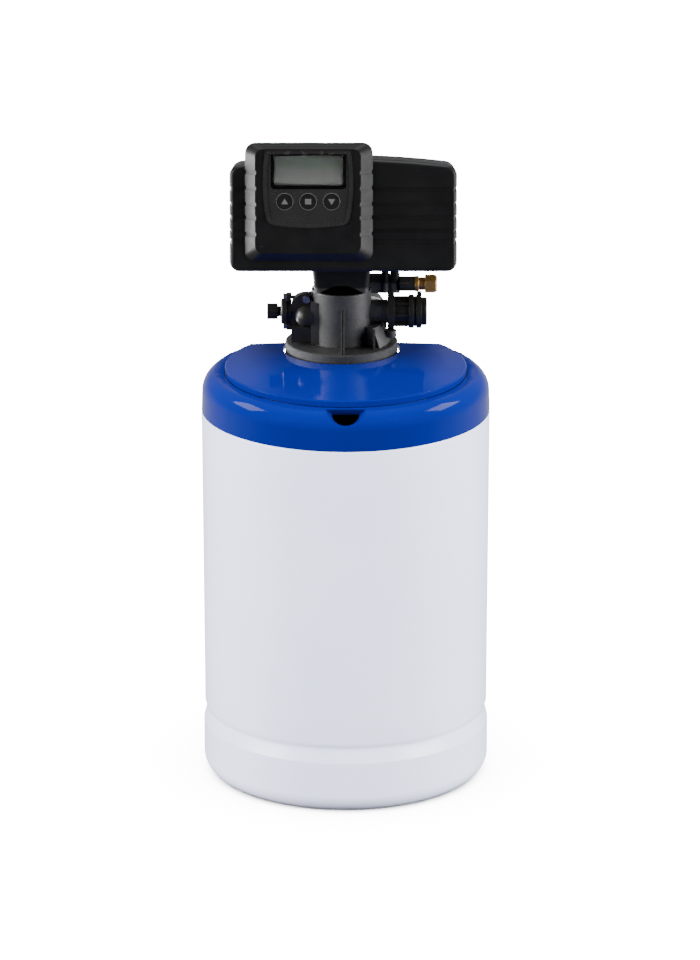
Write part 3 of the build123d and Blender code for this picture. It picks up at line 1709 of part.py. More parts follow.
valve_nodes = {
    "top_strainer": top_strainer(),
    "valve_body": valve_body(),
    "neck_seal": neck_seal(),
    "seal_cage": seal_cage(),
    "piston": piston(),
    "piston_rod": piston_rod(),
    "end_plug": end_plug(),
    "injector_body": injector_body(),
    "injector_nozzle": injector_nozzle(),
    "injector_screws": injector_screws(),
    "mixing_bonnet": mixing_bonnet(),
    "mixing_knob": mixing_knob(),
    "drain_housing": drain_housing(),
    "drain_tube": drain_tube(),
    "drain_cap": drain_cap(),
    "flow_washer": flow_washer(),
    "brine_valve_body": brine_valve_body(),
    "brine_sleeve": brine_sleeve(),
    "brine_stem": brine_stem(),
    "brine_fitting": brine_fitting(),
    "brine_nut": brine_nut(),
    "inlet_tailpiece": tailpiece(port_places()[0]),
    "outlet_tailpiece": tailpiece(port_places()[1]),
    "port_clips": port_clips(),
    "meter_carrier": meter_carrier(),
    "meter_turbine": meter_turbine(),
    "head_frame": head_frame(),
    "head_cover": head_cover(),
    "rear_cover": rear_cover(),
    "power_inlet": power_inlet(),
    "display_bezel": display_bezel(),
    "display_panel": display_panel(),
    "lcd_window": lcd_window(),
    "lcd_module": lcd_module(),
    "circuit_board": circuit_board(),
    "up_button": push_button(button_places()[0]),
    "set_button": push_button(button_places()[1]),
    "down_button": push_button(button_places()[2]),
    "drive_motor": drive_motor(),
    "motor_pinion": motor_pinion(),
    "main_gear": main_gear(),
    "brine_gear": brine_gear(),
}
for name, solid in valve_nodes.items():
    nodes[name] = Pos(valve_x, valve_y, neck_top) * solid

os.makedirs("parts", exist_ok=True)
for name, solid in nodes.items():
    export_step(solid, "parts/" + name + ".step")
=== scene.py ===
import bpy
import bmesh
import json
from math import cos, pi, radians, sin, tau
from mathutils import Matrix, Vector


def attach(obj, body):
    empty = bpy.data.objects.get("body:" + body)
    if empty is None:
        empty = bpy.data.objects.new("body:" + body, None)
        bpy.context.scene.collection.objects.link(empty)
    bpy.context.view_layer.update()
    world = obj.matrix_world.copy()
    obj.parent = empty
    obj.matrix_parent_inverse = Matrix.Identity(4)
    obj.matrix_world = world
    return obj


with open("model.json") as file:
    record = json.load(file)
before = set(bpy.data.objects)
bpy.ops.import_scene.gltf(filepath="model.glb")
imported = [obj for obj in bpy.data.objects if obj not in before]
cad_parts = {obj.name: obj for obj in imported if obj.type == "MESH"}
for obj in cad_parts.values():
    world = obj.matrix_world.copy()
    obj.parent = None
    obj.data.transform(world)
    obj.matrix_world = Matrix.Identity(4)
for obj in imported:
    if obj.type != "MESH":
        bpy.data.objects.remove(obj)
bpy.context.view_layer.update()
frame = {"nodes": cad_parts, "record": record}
nodes = frame["nodes"]
MM = 0.001

# Camera, at the photograph's angle

target = Vector((0.00383, 0.0, 0.2696))
rise = radians(18.2)
distance = 6.0
lens_mm = 252.4
sensor_mm = 36.0
clip_end = 50.0

camera = bpy.data.objects.new("camera", bpy.data.cameras.new("camera"))
bpy.context.scene.collection.objects.link(camera)
camera.location = target + distance * Vector((0.0, -cos(rise), sin(rise)))
camera.rotation_euler = (radians(90) - rise, 0.0, 0.0)
camera.data.lens = lens_mm
camera.data.sensor_width = sensor_mm
camera.data.clip_end = clip_end
bpy.context.scene.camera = camera


# Node helpers

def material(name):
    """An empty node material: (material, nodes, links, shader)."""
    made = bpy.data.materials.new(name)
    made.use_nodes = True
    tree = made.node_tree
    return made, tree.nodes, tree.links, tree.nodes["Principled BSDF"]


def place_of(tree):
    """Object coordinates in metres."""
    return tree.new("ShaderNodeTexCoord").outputs["Object"]


def noise(tree, links, source, scale, detail=3.0, rough=0.5, stretch=(1.0, 1.0, 1.0)):
    """Noise of the given scale (per metre), stretched along the axes."""
    mapping = tree.new("ShaderNodeMapping")
    mapping.inputs["Scale"].default_value = stretch
    links.new(source, mapping.inputs["Vector"])
    node = tree.new("ShaderNodeTexNoise")
    node.inputs["Scale"].default_value = scale
    node.inputs["Detail"].default_value = detail
    node.inputs["Roughness"].default_value = rough
    links.new(mapping.outputs["Vector"], node.inputs["Vector"])
    return node.outputs["Fac"]


def ramp(tree, links, factor, *stops):
    """Colour ramp through (position, colour) stops."""
    node = tree.new("ShaderNodeValToRGB")
    elements = node.color_ramp.elements
    while len(elements) < len(stops):
        elements.new(0.5)
    for element, (place, colour) in zip(elements, stops):
        element.position = place
        element.color = (*colour, 1.0)
    links.new(factor, node.inputs["Fac"])
    return node.outputs["Color"]


def spread(tree, links, factor, low, high, start=0.3, end=0.7):
    """A factor between start and end mapped to the range from low to high."""
    node = tree.new("ShaderNodeMapRange")
    node.inputs["From Min"].default_value = start
    node.inputs["From Max"].default_value = end
    node.inputs["To Min"].default_value = low
    node.inputs["To Max"].default_value = high
    links.new(factor, node.inputs["Value"])
    return node.outputs["Result"]


def bump(tree, links, height, strength, depth, under=None):
    """Bump of the given depth in metres, laid over another one if there is one under it."""
    node = tree.new("ShaderNodeBump")
    node.inputs["Strength"].default_value = strength
    node.inputs["Distance"].default_value = depth
    links.new(height, node.inputs["Height"])
    if under is not None:
        links.new(under, node.inputs["Normal"])
    return node.outputs["Normal"]


def maths(tree, links, operation, *factors):
    """One or two factors put through a maths operation."""
    node = tree.new("ShaderNodeMath")
    node.operation = operation
    for factor, socket in zip(factors, node.inputs):
        links.new(factor, socket)
    return node.outputs["Value"]


def product(tree, links, first, *others):
    """Product of several factors."""
    result = first
    for other in others:
        result = maths(tree, links, "MULTIPLY", result, other)
    return result


def parts_of(tree, links, vector):
    """The three components of a vector."""
    node = tree.new("ShaderNodeSeparateXYZ")
    links.new(vector, node.inputs["Vector"])
    return node.outputs


def colour_mix(tree, blend):
    """A mix of two colours: (share socket, first colour socket, second colour socket, result)."""
    node = tree.new("ShaderNodeMix")
    node.data_type = "RGBA"
    node.blend_type = blend
    return node.inputs[0], node.inputs[6], node.inputs[7], node.outputs[2]


# Materials

def grey(level):
    """A neutral colour."""
    return (level, level, level)


def plastic(name, dark, light, rough, grain, grain_depth, wave=40.0, wave_depth=0.0002, blotch=60.0,
            specular=0.5, coat=0.0, coat_rough=0.1):
    """Moulded plastic: slow colour drift, uneven gloss, fine grain over a slight waviness.

    grain, wave and blotch are noise scales per metre. The depths are in metres.
    """
    made, tree, links, shader = material(name)
    place = place_of(tree)
    drift = noise(tree, links, place, blotch, 4.0, 0.55)
    links.new(ramp(tree, links, drift, (0.32, dark), (0.68, light)), shader.inputs["Base Color"])
    gloss_scale = blotch * 2.3
    gloss = noise(tree, links, place, gloss_scale, 3.0, 0.6)
    links.new(spread(tree, links, gloss, *rough), shader.inputs["Roughness"])
    slow = bump(tree, links, noise(tree, links, place, wave, 1.0, 0.4), 0.25, wave_depth)
    fine = bump(tree, links, noise(tree, links, place, grain, 2.0, 0.6), 0.5, grain_depth, slow)
    links.new(fine, shader.inputs["Normal"])
    shader.inputs["Coat Weight"].default_value = coat
    shader.inputs["Coat Roughness"].default_value = coat_rough
    shader.inputs["Specular IOR Level"].default_value = specular
    return made


def metal(name, dark, light, rough, scale, stretch, depth):
    """Turned or plated metal with fine tool marks."""
    made, tree, links, shader = material(name)
    place = place_of(tree)
    marks = noise(tree, links, place, scale, 3.0, 0.6, stretch)
    links.new(ramp(tree, links, marks, (0.3, dark), (0.7, light)), shader.inputs["Base Color"])
    links.new(spread(tree, links, marks, *rough), shader.inputs["Roughness"])
    links.new(bump(tree, links, marks, 0.4, depth), shader.inputs["Normal"])
    shader.inputs["Metallic"].default_value = 1.0
    return made


tank_white = plastic("tank_white", (0.595, 0.64, 0.85), (0.625, 0.67, 0.87), (0.30, 0.40), 900.0, 0.00004,
                     wave=14.0, wave_depth=0.0006, blotch=9.0, coat=0.15, coat_rough=0.25)
blue_gloss = plastic("blue_gloss", (0.0, 0.013, 0.27), (0.0, 0.015, 0.30), (0.05, 0.08), 700.0, 0.00001,
                     wave=20.0, wave_depth=0.0001, blotch=16.0, specular=0.34)
cover_black = plastic("cover_black", (0.0085, 0.0085, 0.0095), (0.0125, 0.0125, 0.0135), (0.34, 0.44),
                      2600.0, 0.00009, wave=30.0, blotch=35.0, specular=0.45)
black_gloss = plastic("black_gloss", (0.016, 0.015, 0.0145), (0.022, 0.021, 0.020), (0.30, 0.40),
                      1500.0, 0.00003, wave=60.0, blotch=70.0, specular=0.4)
panel_black = plastic("panel_black", (0.034, 0.034, 0.0345), (0.042, 0.042, 0.0425), (0.22, 0.30),
                      2200.0, 0.00003, blotch=50.0, coat=0.15, coat_rough=0.15)
black_matte = plastic("black_matte", (0.012, 0.012, 0.013), (0.02, 0.02, 0.021), (0.5, 0.62),
                      1800.0, 0.0001)
surround_black = plastic("surround_black", grey(0.003), grey(0.005), (0.12, 0.2),
                         1500.0, 0.00001, blotch=80.0)
white_plastic = plastic("white_plastic", (0.62, 0.62, 0.59), (0.70, 0.70, 0.67), (0.36, 0.46),
                        1400.0, 0.00004, blotch=40.0)
float_foam = plastic("float_foam", (0.52, 0.52, 0.49), (0.66, 0.66, 0.62), (0.7, 0.85),
                     700.0, 0.0004, blotch=260.0)
seal_rubber = plastic("seal_rubber", grey(0.008), grey(0.014), (0.55, 0.7), 1600.0, 0.0001)
lcd_grey = plastic("lcd_grey", (0.078, 0.079, 0.077), (0.090, 0.091, 0.089), (0.32, 0.4),
                   5000.0, 0.00001, blotch=25.0, specular=0.3)
board_green = plastic("board_green", (0.006, 0.05, 0.018), (0.010, 0.075, 0.026), (0.3, 0.42),
                      1200.0, 0.00004, blotch=320.0)
print_grey = plastic("print_grey", grey(0.19), grey(0.25), (0.45, 0.6), 4000.0, 0.00001, blotch=300.0)
brass = metal("brass", (0.70, 0.40, 0.11), (0.90, 0.58, 0.20), (0.38, 0.50),
              260.0, (14.0, 1.0, 1.0), 0.00004)
steel = metal("steel", (0.42, 0.42, 0.43), (0.60, 0.60, 0.61), (0.28, 0.42),
              420.0, (3.0, 3.0, 1.0), 0.00004)

# Heights in metres between which painted shade comes in and goes out on the barrel's top, and comes in on
# the valve above the barrel

crown_shade_starts = (0.4350, 0.4356)
crown_shade_ends = (0.4440, 0.4444)
tower_shade_starts = (0.4385, 0.4405)

# How far up a face must look to be of the barrel's top, how dark the painted shade above the barrel gets,
# and the black of the painted shade itself

upward_faces = (0.35, 0.55)
tower_shade_share = 0.75
shade_black = (0.0015, 0.0015, 0.0015, 1.0)


def crown_shade_mask(tree, links, height):
    """One on the barrel's top, where painted shade makes it black, and zero elsewhere."""
    facing = parts_of(tree, links, tree.new("ShaderNodeNewGeometry").outputs["Normal"])["Z"]
    above = spread(tree, links, height, 0.0, 1.0, *crown_shade_starts)
    below = spread(tree, links, height, 1.0, 0.0, *crown_shade_ends)
    upward = spread(tree, links, facing, 0.0, 1.0, *upward_faces)
    return product(tree, links, above, below, upward)


def glass_filled():
    """Dark grey glass-filled plastic: sandy texture with lighter flecks, and painted shade that darkens
    the valve above the barrel and blackens the barrel's top, with less highlight there.
    """
    made, tree, links, shader = material("valve_grey")
    place = place_of(tree)
    height = parts_of(tree, links, place)["Z"]
    drift = noise(tree, links, place, 55.0, 4.0, 0.6)
    base = ramp(tree, links, drift, (0.3, (0.030, 0.030, 0.031)), (0.7, (0.048, 0.048, 0.049)))
    flecks = noise(tree, links, place, 1500.0, 3.0, 0.7)
    light = ramp(tree, links, flecks, (0.52, grey(0.0)), (0.74, grey(0.07)))
    share, first, second, flecked = colour_mix(tree, "ADD")
    share.default_value = 1.0
    links.new(base, first)
    links.new(light, second)
    # Painted shade: the valve above the barrel and the barrel's top are darkened by height and facing.
    painted_tower_shade = spread(tree, links, height, 0.0, tower_shade_share, *tower_shade_starts)
    painted_shade = maths(tree, links, "MAXIMUM", crown_shade_mask(tree, links, height), painted_tower_shade)
    share, first, second, colour = colour_mix(tree, "MIX")
    links.new(painted_shade, share)
    links.new(flecked, first)
    # Painted shade: black laid on the barrel's top.
    second.default_value = shade_black
    links.new(colour, shader.inputs["Base Color"])
    links.new(spread(tree, links, flecks, 0.42, 0.62), shader.inputs["Roughness"])
    # Painted shade also turns the highlight down where the shade is painted.
    links.new(spread(tree, links, painted_shade, 0.5, 0.0, 0.0, 1.0), shader.inputs["Specular IOR Level"])
    coarse = bump(tree, links, noise(tree, links, place, 180.0, 2.0, 0.5), 0.3, 0.0003)
    sand = noise(tree, links, place, 1100.0, 4.0, 0.65)
    links.new(bump(tree, links, sand, 0.55, 0.00022, coarse), shader.inputs["Normal"])
    return made


def wound_glass():
    """Wound glass fibre: crossing bands under a resin gloss."""
    made, tree, links, shader = material("vessel_wrap")
    place = place_of(tree)
    winding_angle = 35.0
    bands = []
    for lean in (-winding_angle, winding_angle):
        mapping = tree.new("ShaderNodeMapping")
        mapping.inputs["Rotation"].default_value = (radians(lean), 0.0, 0.0)
        links.new(place, mapping.inputs["Vector"])
        wave = tree.new("ShaderNodeTexWave")
        wave.bands_direction = "Z"
        wave.inputs["Scale"].default_value = 60.0
        wave.inputs["Distortion"].default_value = 1.5
        wave.inputs["Detail"].default_value = 3.0
        links.new(mapping.outputs["Vector"], wave.inputs["Vector"])
        bands.append(wave.outputs["Fac"])
    both = product(tree, links, *bands)
    colour = ramp(tree, links, both, (0.1, (0.34, 0.32, 0.24)), (0.7, (0.50, 0.48, 0.38)))
    links.new(colour, shader.inputs["Base Color"])
    links.new(bump(tree, links, both, 0.5, 0.0006), shader.inputs["Normal"])
    links.new(spread(tree, links, both, 0.28, 0.45, 0.0, 1.0), shader.inputs["Roughness"])
    return made


def beads():
    """Amber resin beads."""
    made, tree, links, shader = material("resin_amber")
    cells = tree.new("ShaderNodeTexVoronoi")
    cells.inputs["Scale"].default_value = 900.0
    links.new(place_of(tree), cells.inputs["Vector"])
    reach = cells.outputs["Distance"]
    colour = ramp(tree, links, reach, (0.1, (0.36, 0.15, 0.025)), (0.6, (0.13, 0.05, 0.01)))
    links.new(colour, shader.inputs["Base Color"])
    links.new(bump(tree, links, reach, -0.8, 0.0005), shader.inputs["Normal"])
    links.new(spread(tree, links, reach, 0.2, 0.5, 0.0, 0.7), shader.inputs["Roughness"])
    return made


def clear():
    """Clear window over the display, faintly marked."""
    made, tree, links, shader = material("clear_window")
    haze = noise(tree, links, place_of(tree), 90.0, 4.0, 0.6)
    tint = ramp(tree, links, haze, (0.3, (0.88, 0.90, 0.90)), (0.7, (0.93, 0.94, 0.94)))
    links.new(tint, shader.inputs["Base Color"])
    links.new(spread(tree, links, haze, 0.05, 0.12), shader.inputs["Roughness"])
    shader.inputs["Transmission Weight"].default_value = 1.0
    shader.inputs["IOR"].default_value = 1.3
    shader.inputs["Alpha"].default_value = 0.35
    return made


valve_grey = glass_filled()
vessel_wrap = wound_glass()
resin_amber = beads()
clear_window = clear()

# Finish and soft edges of the CAD nodes

finish_of_slot = {
    "tank_white": tank_white, "blue_gloss": blue_gloss, "cover_black": cover_black,
    "black_gloss": black_gloss, "black_matte": black_matte, "valve_grey": valve_grey,
    "vessel_wrap": vessel_wrap, "resin_amber": resin_amber, "white_plastic": white_plastic,
    "float_foam": float_foam, "seal_rubber": seal_rubber, "brass": brass, "steel": steel,
    "clear_window": clear_window, "lcd_grey": lcd_grey, "board_green": board_green}
finish_of_node = {row["node"]: finish_of_slot[row["material_slot"]] for row in frame["record"]["subparts"]}
finish_of_node["display_panel"] = panel_black
edge_radius_mm = {
    "brine_tank": 1.8, "tank_collar": 0.5, "salt_lid": 0.4, "overflow_fitting": 0.3,
    "valve_body": 0.6, "injector_body": 0.7, "injector_screws": 0.3, "mixing_bonnet": 0.35,
    "mixing_knob": 0.4, "drain_housing": 0.5, "drain_cap": 0.4, "brine_valve_body": 0.5,
    "brine_fitting": 0.25, "brine_nut": 0.35, "inlet_tailpiece": 0.5, "outlet_tailpiece": 0.5,
    "port_clips": 0.3, "head_cover": 0.35, "rear_cover": 0.3, "power_inlet": 0.3,
    "display_bezel": 0.5, "display_panel": 0.8, "up_button": 0.5, "set_button": 0.5,
    "down_button": 0.5}
weld_distance = 0.000004
soft_edge_angle = radians(32)
sharp_edge_angle = radians(35)


def dress(name, obj):
    """Give a CAD node its finish, its rounded edges and clean shading."""
    obj.data.materials.clear()
    obj.data.materials.append(finish_of_node[name])
    weld = obj.modifiers.new("weld", "WELD")
    weld.merge_threshold = weld_distance
    if name in edge_radius_mm:
        soft = obj.modifiers.new("edges", "BEVEL")
        soft.width = edge_radius_mm[name] * MM
        soft.segments = 2
        soft.limit_method = "ANGLE"
        soft.angle_limit = soft_edge_angle
        soft.use_clamp_overlap = True
        soft.harden_normals = False
    flow = obj.modifiers.new("normals", "WEIGHTED_NORMAL")
    flow.mode = "FACE_AREA"
    flow.weight = 80
    flow.keep_sharp = False


for name, obj in nodes.items():
    dress(name, obj)


# Mesh helpers, in millimetres

def mesh_object(name, build, look, body, smooth=True):
    """A new piece from a bmesh builder that works in millimetres."""
    work = bmesh.new()
    build(work)
    bmesh.ops.recalc_face_normals(work, faces=work.faces)
    bmesh.ops.scale(work, vec=(MM, MM, MM), verts=work.verts)
    data = bpy.data.meshes.new(name)
    work.to_mesh(data)
    work.free()
    if smooth:
        data.shade_smooth()
        data.set_sharp_from_angle(angle=sharp_edge_angle)
    made = bpy.data.objects.new(name, data)
    made.data.materials.append(look)
    bpy.context.scene.collection.objects.link(made)
    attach(made, body)
    return made


def joined_rings(work, first, second):
    """Faces between two closed rings of vertices."""
    count = len(first)
    for k in range(count):
        other = (k + 1) % count
        work.faces.new((first[k], first[other], second[other], second[k]))


def swept_ring(work, radius, profile, centre, turn=Matrix.Identity(4), steps=72):
    """A closed profile of (outwards, along) points swept round an axis along Y, through centre."""
    rows = []
    for step in range(steps):
        angle = step * tau / steps
        row = []
        for out, along in profile:
            point = Vector(((radius + out) * cos(angle), along, (radius + out) * sin(angle)))
            row.append(work.verts.new(turn @ (Vector(centre) + point)))
        rows.append(row)
    for step in range(steps):
        joined_rings(work, rows[step], rows[(step + 1) % steps])


def prism(work, corners, front, rear, turn=Matrix.Identity(4)):
    """A plate from (x, z) corners between two depths along Y."""
    faces = []
    for depth in (front, rear):
        faces.append([work.verts.new(turn @ Vector((x, depth, z))) for x, z in corners])
    work.faces.new(faces[0])
    work.faces.new(list(reversed(faces[1])))
    count = len(corners)
    for k in range(count):
        other = (k + 1) % count
        work.faces.new((faces[0][k], faces[1][k], faces[1][other], faces[0][other]))


def frame_of(work, outer, inner, front, rear, turn):
    """A flat frame between two outlines of equal point count."""
    rings = []
    for corners, depth in ((outer, front), (inner, front), (inner, rear), (outer, rear)):
        rings.append([work.verts.new(turn @ Vector((x, depth, z))) for x, z in corners])
    for k in range(4):
        joined_rings(work, rings[k], rings[(k + 1) % 4])


def round_profile(radius, steps=8):
    """A small round profile for rings."""
    return [(radius * cos(k * tau / steps), radius * sin(k * tau / steps)) for k in range(steps)]


def rectangle(left, right, foot, top):
    """The four (x, z) corners of a rectangle."""
    return [(left, foot), (right, foot), (right, top), (left, top)]


def rounded_corners(corners, radius, steps=4):
    """Corner points with each corner rounded."""
    out = []
    count = len(corners)
    for k in range(count):
        here = Vector(corners[k])
        before = (Vector(corners[k - 1]) - here).normalized()
        after = (Vector(corners[(k + 1) % count]) - here).normalized()
        start = here + radius * before
        end = here + radius * after
        for step in range(steps + 1):
            t = step / steps
            point = (1 - t) ** 2 * start + 2 * t * (1 - t) * here + t ** 2 * end
            out.append((point.x, point.y))
    return out


# The cover's lower front edge, from which the leaning head is drawn, and the faces of its panel and keys

head_lean = radians(10.0)
head_place = Matrix.Translation((0.0, -18.0, 468.0)) @ Matrix.Rotation(-head_lean, 4, "X")
panel_face = -10.0
key_face = -10.5

# Keys: rims and printed signs

key_height = 63.3
up_x = -53.5
set_x = -32.9
down_x = -12.3
rim_radius = 7.32
rim_wire = 0.28
rim_out = 0.02
sign_front = key_face - 0.06
sign_rear = key_face + 0.05
triangle_half = 3.1
triangle_foot = 2.3
triangle_tip = 2.9
triangle_round = 0.35
brick_columns = 3
brick_rows = 4
bricks_left = 2.75
bricks_foot = 2.4
brick_step = (1.86, 1.24)
brick_size = (1.78, 1.16)


def key_rims(work):
    """A thin raised ring round each key."""
    for x in (up_x, set_x, down_x):
        centre = (x, panel_face - rim_out, key_height)
        swept_ring(work, rim_radius, round_profile(rim_wire), centre, head_place)


def triangle_sign(work, x, way):
    """A triangle that points up where way is 1 and down where it is -1."""
    foot = key_height - triangle_foot * way
    corners = [(x - triangle_half, foot), (x + triangle_half, foot), (x, key_height + triangle_tip * way)]
    prism(work, rounded_corners(corners, triangle_round), sign_front, sign_rear, head_place)


def up_sign(work):
    """The up key's triangle."""
    triangle_sign(work, up_x, 1.0)


def down_sign(work):
    """The down key's triangle."""
    triangle_sign(work, down_x, -1.0)


def set_sign(work):
    """A square of small bricks on the middle key."""
    for row in range(brick_rows):
        low = key_height - bricks_foot + row * brick_step[1]
        for column in range(brick_columns):
            left = set_x - bricks_left + column * brick_step[0]
            corners = rectangle(left, left + brick_size[0], low, low + brick_size[1])
            prism(work, corners, sign_front, sign_rear, head_place)


mesh_object("key_rims", key_rims, print_grey, "cabinet")
mesh_object("up_sign", up_sign, print_grey, "up_key")
mesh_object("set_sign", set_sign, print_grey, "set_key", smooth=False)
mesh_object("down_sign", down_sign, print_grey, "down_key")

# Display surround and mask: left, right, foot and top of each outline, then its corner radius

surround_outline = (-65.6, 0.4, 74.3, 106.3, 3.2)
surround_opening = (-63.5, -1.7, 76.4, 104.4, 1.8)
surround_depths = (panel_face - 0.12, panel_face + 0.4)
mask_outline = (-63.6, -1.6, 76.3, 104.5, 2.0)
mask_opening = (-62.6, -2.6, 77.3, 103.5, 1.4)
mask_depths = (-9.3, -9.0)


def rounded_box(left, right, foot, top, radius):
    """A rectangle with rounded corners."""
    return rounded_corners(rectangle(left, right, foot, top), radius, 6)


def lcd_surround(work):
    """The raised glossy frame round the display."""
    outer = rounded_box(*surround_outline)
    inner = rounded_box(*surround_opening)
    frame_of(work, outer, inner, *surround_depths, head_place)


def lcd_mask(work):
    """The black mask round the display, set back behind the surround."""
    outer = rounded_box(*mask_outline)
    inner = rounded_box(*mask_opening)
    frame_of(work, outer, inner, *mask_depths, head_place)


mesh_object("lcd_surround", lcd_surround, surround_black, "cabinet")
mesh_object("lcd_mask", lcd_mask, surround_black, "cabinet")

# Small moulding marks on the bezel: two crosses, low at its left and right

mark_places = (-73.6, 6.4)
mark_height = 23.6
mark_arms = ((2.1, 0.22), (0.22, 1.6))
mark_depths = (panel_face - 0.07, panel_face + 0.1)


def moulding_marks(work):
    """Two small crosses, each of two thin bars."""
    for x in mark_places:
        for half_x, half_z in mark_arms:
            corners = rectangle(x - half_x, x + half_x, mark_height - half_z, mark_height + half_z)
            prism(work, corners, *mark_depths, head_place)


mesh_object("moulding_marks", moulding_marks, panel_black, "cabinet", smooth=False)

# The flange's lower skirt and a strip of painted shade in the gap round the lid

flange_centre = (-3.8, 44.0, 0.0)
skirt_radius = 50.0
skirt_wall = 4.6
skirt_foot = 373.0
skirt_top = 379.9
lid_reach = 107.2
rim_top = 371.2
shadow_strip_start = radians(158)
shadow_strip_sweep = tau - 2 * (shadow_strip_start - pi / 2)
shadow_strip_reaches = (0.12, 0.62)
shadow_strip_heights = (-0.9, 0.35)
round_steps = 96


def flange_skirt(work):
    """A short ring under the flange."""
    upright = Matrix.Translation(flange_centre) @ Matrix.Rotation(radians(90), 4, "X")
    profile = [(0.0, skirt_foot), (0.0, skirt_top), (-skirt_wall, skirt_top), (-skirt_wall, skirt_foot)]
    swept_ring(work, skirt_radius, profile, (0.0, 0.0, 0.0), upright, round_steps)


def lid_shadow_strip(work):
    """A thin black strip of painted shade low in the gap round the lid's front and sides, open at the
    rear.
    """
    near, far = shadow_strip_reaches
    low, high = shadow_strip_heights
    rows = []
    for step in range(round_steps + 1):
        angle = shadow_strip_start + step * shadow_strip_sweep / round_steps
        row = []
        for reach, height in ((near, low), (near, high), (far, high), (far, low)):
            radius = lid_reach + reach
            row.append(work.verts.new((radius * cos(angle), radius * sin(angle), rim_top + height)))
        rows.append(row)
    for row, following in zip(rows, rows[1:]):
        joined_rings(work, row, following)
    work.faces.new(list(reversed(rows[0])))
    work.faces.new(rows[-1])


mesh_object("flange_skirt", flange_skirt, valve_grey, "cabinet")
# Painted shade: a black strip stands in for the shadow in the lid's gap.
mesh_object("lid_shadow_strip", lid_shadow_strip, surround_black, "cabinet")

# Studio floor, in metres

floor_front = -9.0
bend_depth = 3.0
bend_radius = 3.0
bend_step_degrees = 6
backdrop_top = 9.0
floor_half_width = 12.0
floor_drop = 0.0002


def studio_floor():
    """A pale floor that turns up into a backdrop far behind."""
    profile = [(floor_front, 0.0)]
    for degrees in range(0, 91, bend_step_degrees):
        angle = radians(degrees)
        profile.append((bend_depth + bend_radius * sin(angle), bend_radius - bend_radius * cos(angle)))
    profile.append((bend_depth + bend_radius, backdrop_top))
    work = bmesh.new()
    rows = []
    for x in (-floor_half_width, floor_half_width):
        rows.append([work.verts.new((x, y, z - floor_drop)) for y, z in profile])
    for k in range(len(profile) - 1):
        work.faces.new((rows[0][k], rows[0][k + 1], rows[1][k + 1], rows[1][k]))
    data = bpy.data.meshes.new("studio_floor")
    work.to_mesh(data)
    work.free()
    data.shade_smooth()
    made = bpy.data.objects.new("studio_floor", data)
    look, tree, links, shader = material("studio_floor")
    haze = noise(tree, links, place_of(tree), 0.6, 2.0, 0.4)
    links.new(ramp(tree, links, haze, (0.2, grey(0.93)), (0.8, grey(0.95))), shader.inputs["Base Color"])
    shader.inputs["Roughness"].default_value = 0.9
    shader.inputs["Specular IOR Level"].default_value = 0.1
    made.data.materials.append(look)
    made.visible_diffuse = False
    made.visible_glossy = False
    made.visible_shadow = False
    bpy.context.scene.collection.objects.link(made)
    return made


floor = studio_floor()


# Lights, each kept to some of the pieces

def soft_light(name, place, aim, size, power, receivers):
    """A rectangular area light that falls on the receivers alone."""
    data = bpy.data.lights.new(name, "AREA")
    data.shape = "RECTANGLE"
    data.size, data.size_y = size
    data.energy = power
    made = bpy.data.objects.new(name, data)
    bpy.context.scene.collection.objects.link(made)
    made.location = place
    made.rotation_euler = (Vector(aim) - Vector(place)).to_track_quat("-Z", "Y").to_euler()
    group = bpy.data.collections.new(made.name + "_group")
    for item in receivers:
        group.objects.link(item)
    made.light_linking.receiver_collection = group
    return made


pieces = [item for item in bpy.context.scene.objects if item.type == "MESH" and item != floor]
white_parts = [item for item in pieces if item.active_material == tank_white]
blue_parts = [item for item in pieces if item.active_material == blue_gloss]
dark_parts = [item for item in pieces if item not in white_parts + blue_parts]
valve_names = (
    "valve_body", "injector_body", "injector_screws", "mixing_bonnet", "mixing_knob", "drain_housing",
    "drain_cap", "drain_tube", "brine_valve_body", "brine_nut", "brine_fitting", "brine_sleeve",
    "port_clips", "inlet_tailpiece", "outlet_tailpiece", "end_plug", "brine_stem")
valve_parts = [nodes[name] for name in valve_names]
display_parts = [nodes["display_bezel"], nodes["display_panel"]]

low_aim = (0.0, 0.0, 0.2)
tank_aim = (0.0, 0.0, 0.25)
collar_aim = (0.0, 0.0, 0.3)
shoulder_aim = (0.0, 0.0, 0.35)
valve_aim = (0.0, 0.0, 0.42)
neck_aim = (0.0, 0.0, 0.5)
head_aim = (0.0, 0.0, 0.52)
flank_size = (1.8, 1.8)

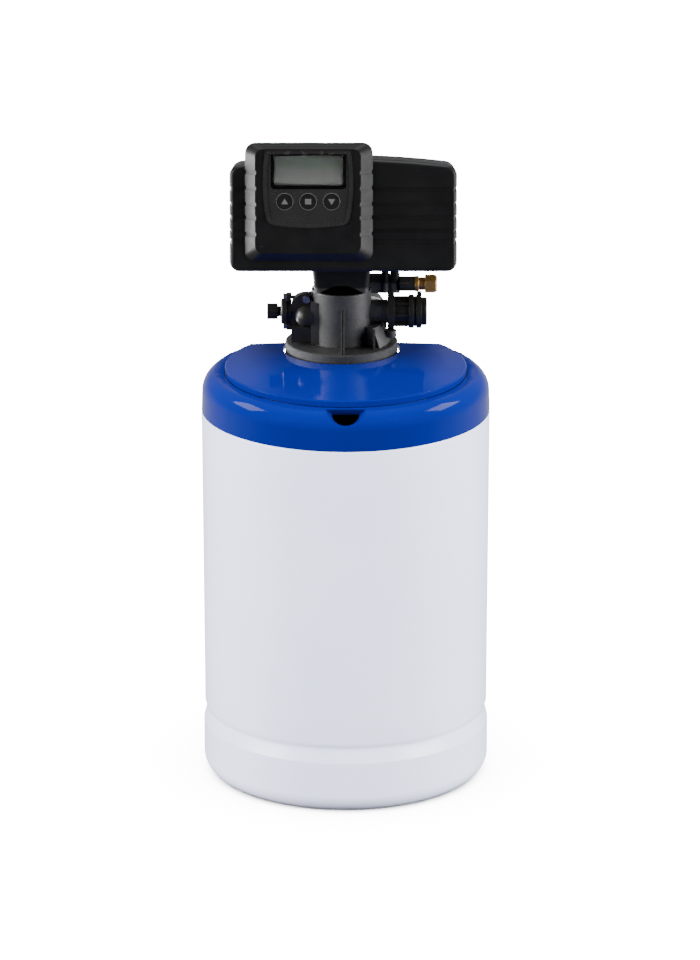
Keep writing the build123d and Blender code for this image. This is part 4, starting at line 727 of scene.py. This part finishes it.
for way in (-1.0, 1.0):
    flank = (2.4 * way, -1.15, 1.0)
    beside = (1.5 * way, 0.1, 0.75)
    high_beside = (1.85 * way, 0.34, 1.84)
    valve_power = 30.0 - 12.0 * way
    soft_light("wall_fill", flank, tank_aim, flank_size, 345.0, white_parts)
    band = soft_light("band_fill", flank, collar_aim, flank_size, 95.0, blue_parts)
    band.visible_glossy = False
    soft_light("head_fill", flank, neck_aim, flank_size, 60.0, dark_parts)
    soft_light("valve_side", beside, valve_aim, (0.8, 0.8), valve_power, valve_parts)
    soft_light("shoulder_strip", high_beside, shoulder_aim, (1.0, 0.75), 10.0, blue_parts)
soft_light("front_fill", (0.0, -2.6, 1.9), low_aim, (1.6, 0.8), 12.0, white_parts)
soft_light("left_low", (-1.25, 0.88, 0.03), head_aim, (1.0, 1.0), 58.0, dark_parts)
soft_light("bezel_side", (-1.5, 0.2, 0.25), head_aim, (0.8, 0.8), 20.0, display_parts)
soft_light("right_low", (1.5, -0.05, 0.03), head_aim, (1.0, 1.0), 10.0, dark_parts)
above = soft_light("lid_fill", (0.0, -0.5, 3.0), collar_aim, (2.0, 2.0), 72.0, blue_parts)
above.visible_glossy = False
soft_light("top", (0.0, 0.4, 3.2), low_aim, (2.4, 2.4), 45.0, dark_parts)
soft_light("tank_top", (0.0, 0.0, 3.2), low_aim, (1.2, 1.2), 12.0, white_parts)
soft_light("floor_wash", (0.0, -0.4, 4.0), (0.0, -0.4, 0.0), (9.0, 9.0), 9000.0, [floor])


def studio_world():
    """A white surround: strong behind the object and low down, dim in a narrow band along its middle."""
    world = bpy.data.worlds.new("studio")
    bpy.context.scene.world = world
    world.use_nodes = True
    tree = world.node_tree.nodes
    links = world.node_tree.links
    toward = parts_of(tree, links, tree.new("ShaderNodeTexCoord").outputs["Generated"])
    sides = spread(tree, links, maths(tree, links, "ABSOLUTE", toward["X"]), 0.25, 1.3, 0.028, 0.042)
    rear = spread(tree, links, toward["Y"], 0.05, 0.8, -0.6, 0.15)
    low = spread(tree, links, toward["Z"], 0.6, 0.32, -0.12, 0.15)
    tree["Background"].inputs["Color"].default_value = (1.0, 1.0, 1.0, 1.0)
    links.new(product(tree, links, sides, rear, low), tree["Background"].inputs["Strength"])


studio_world()
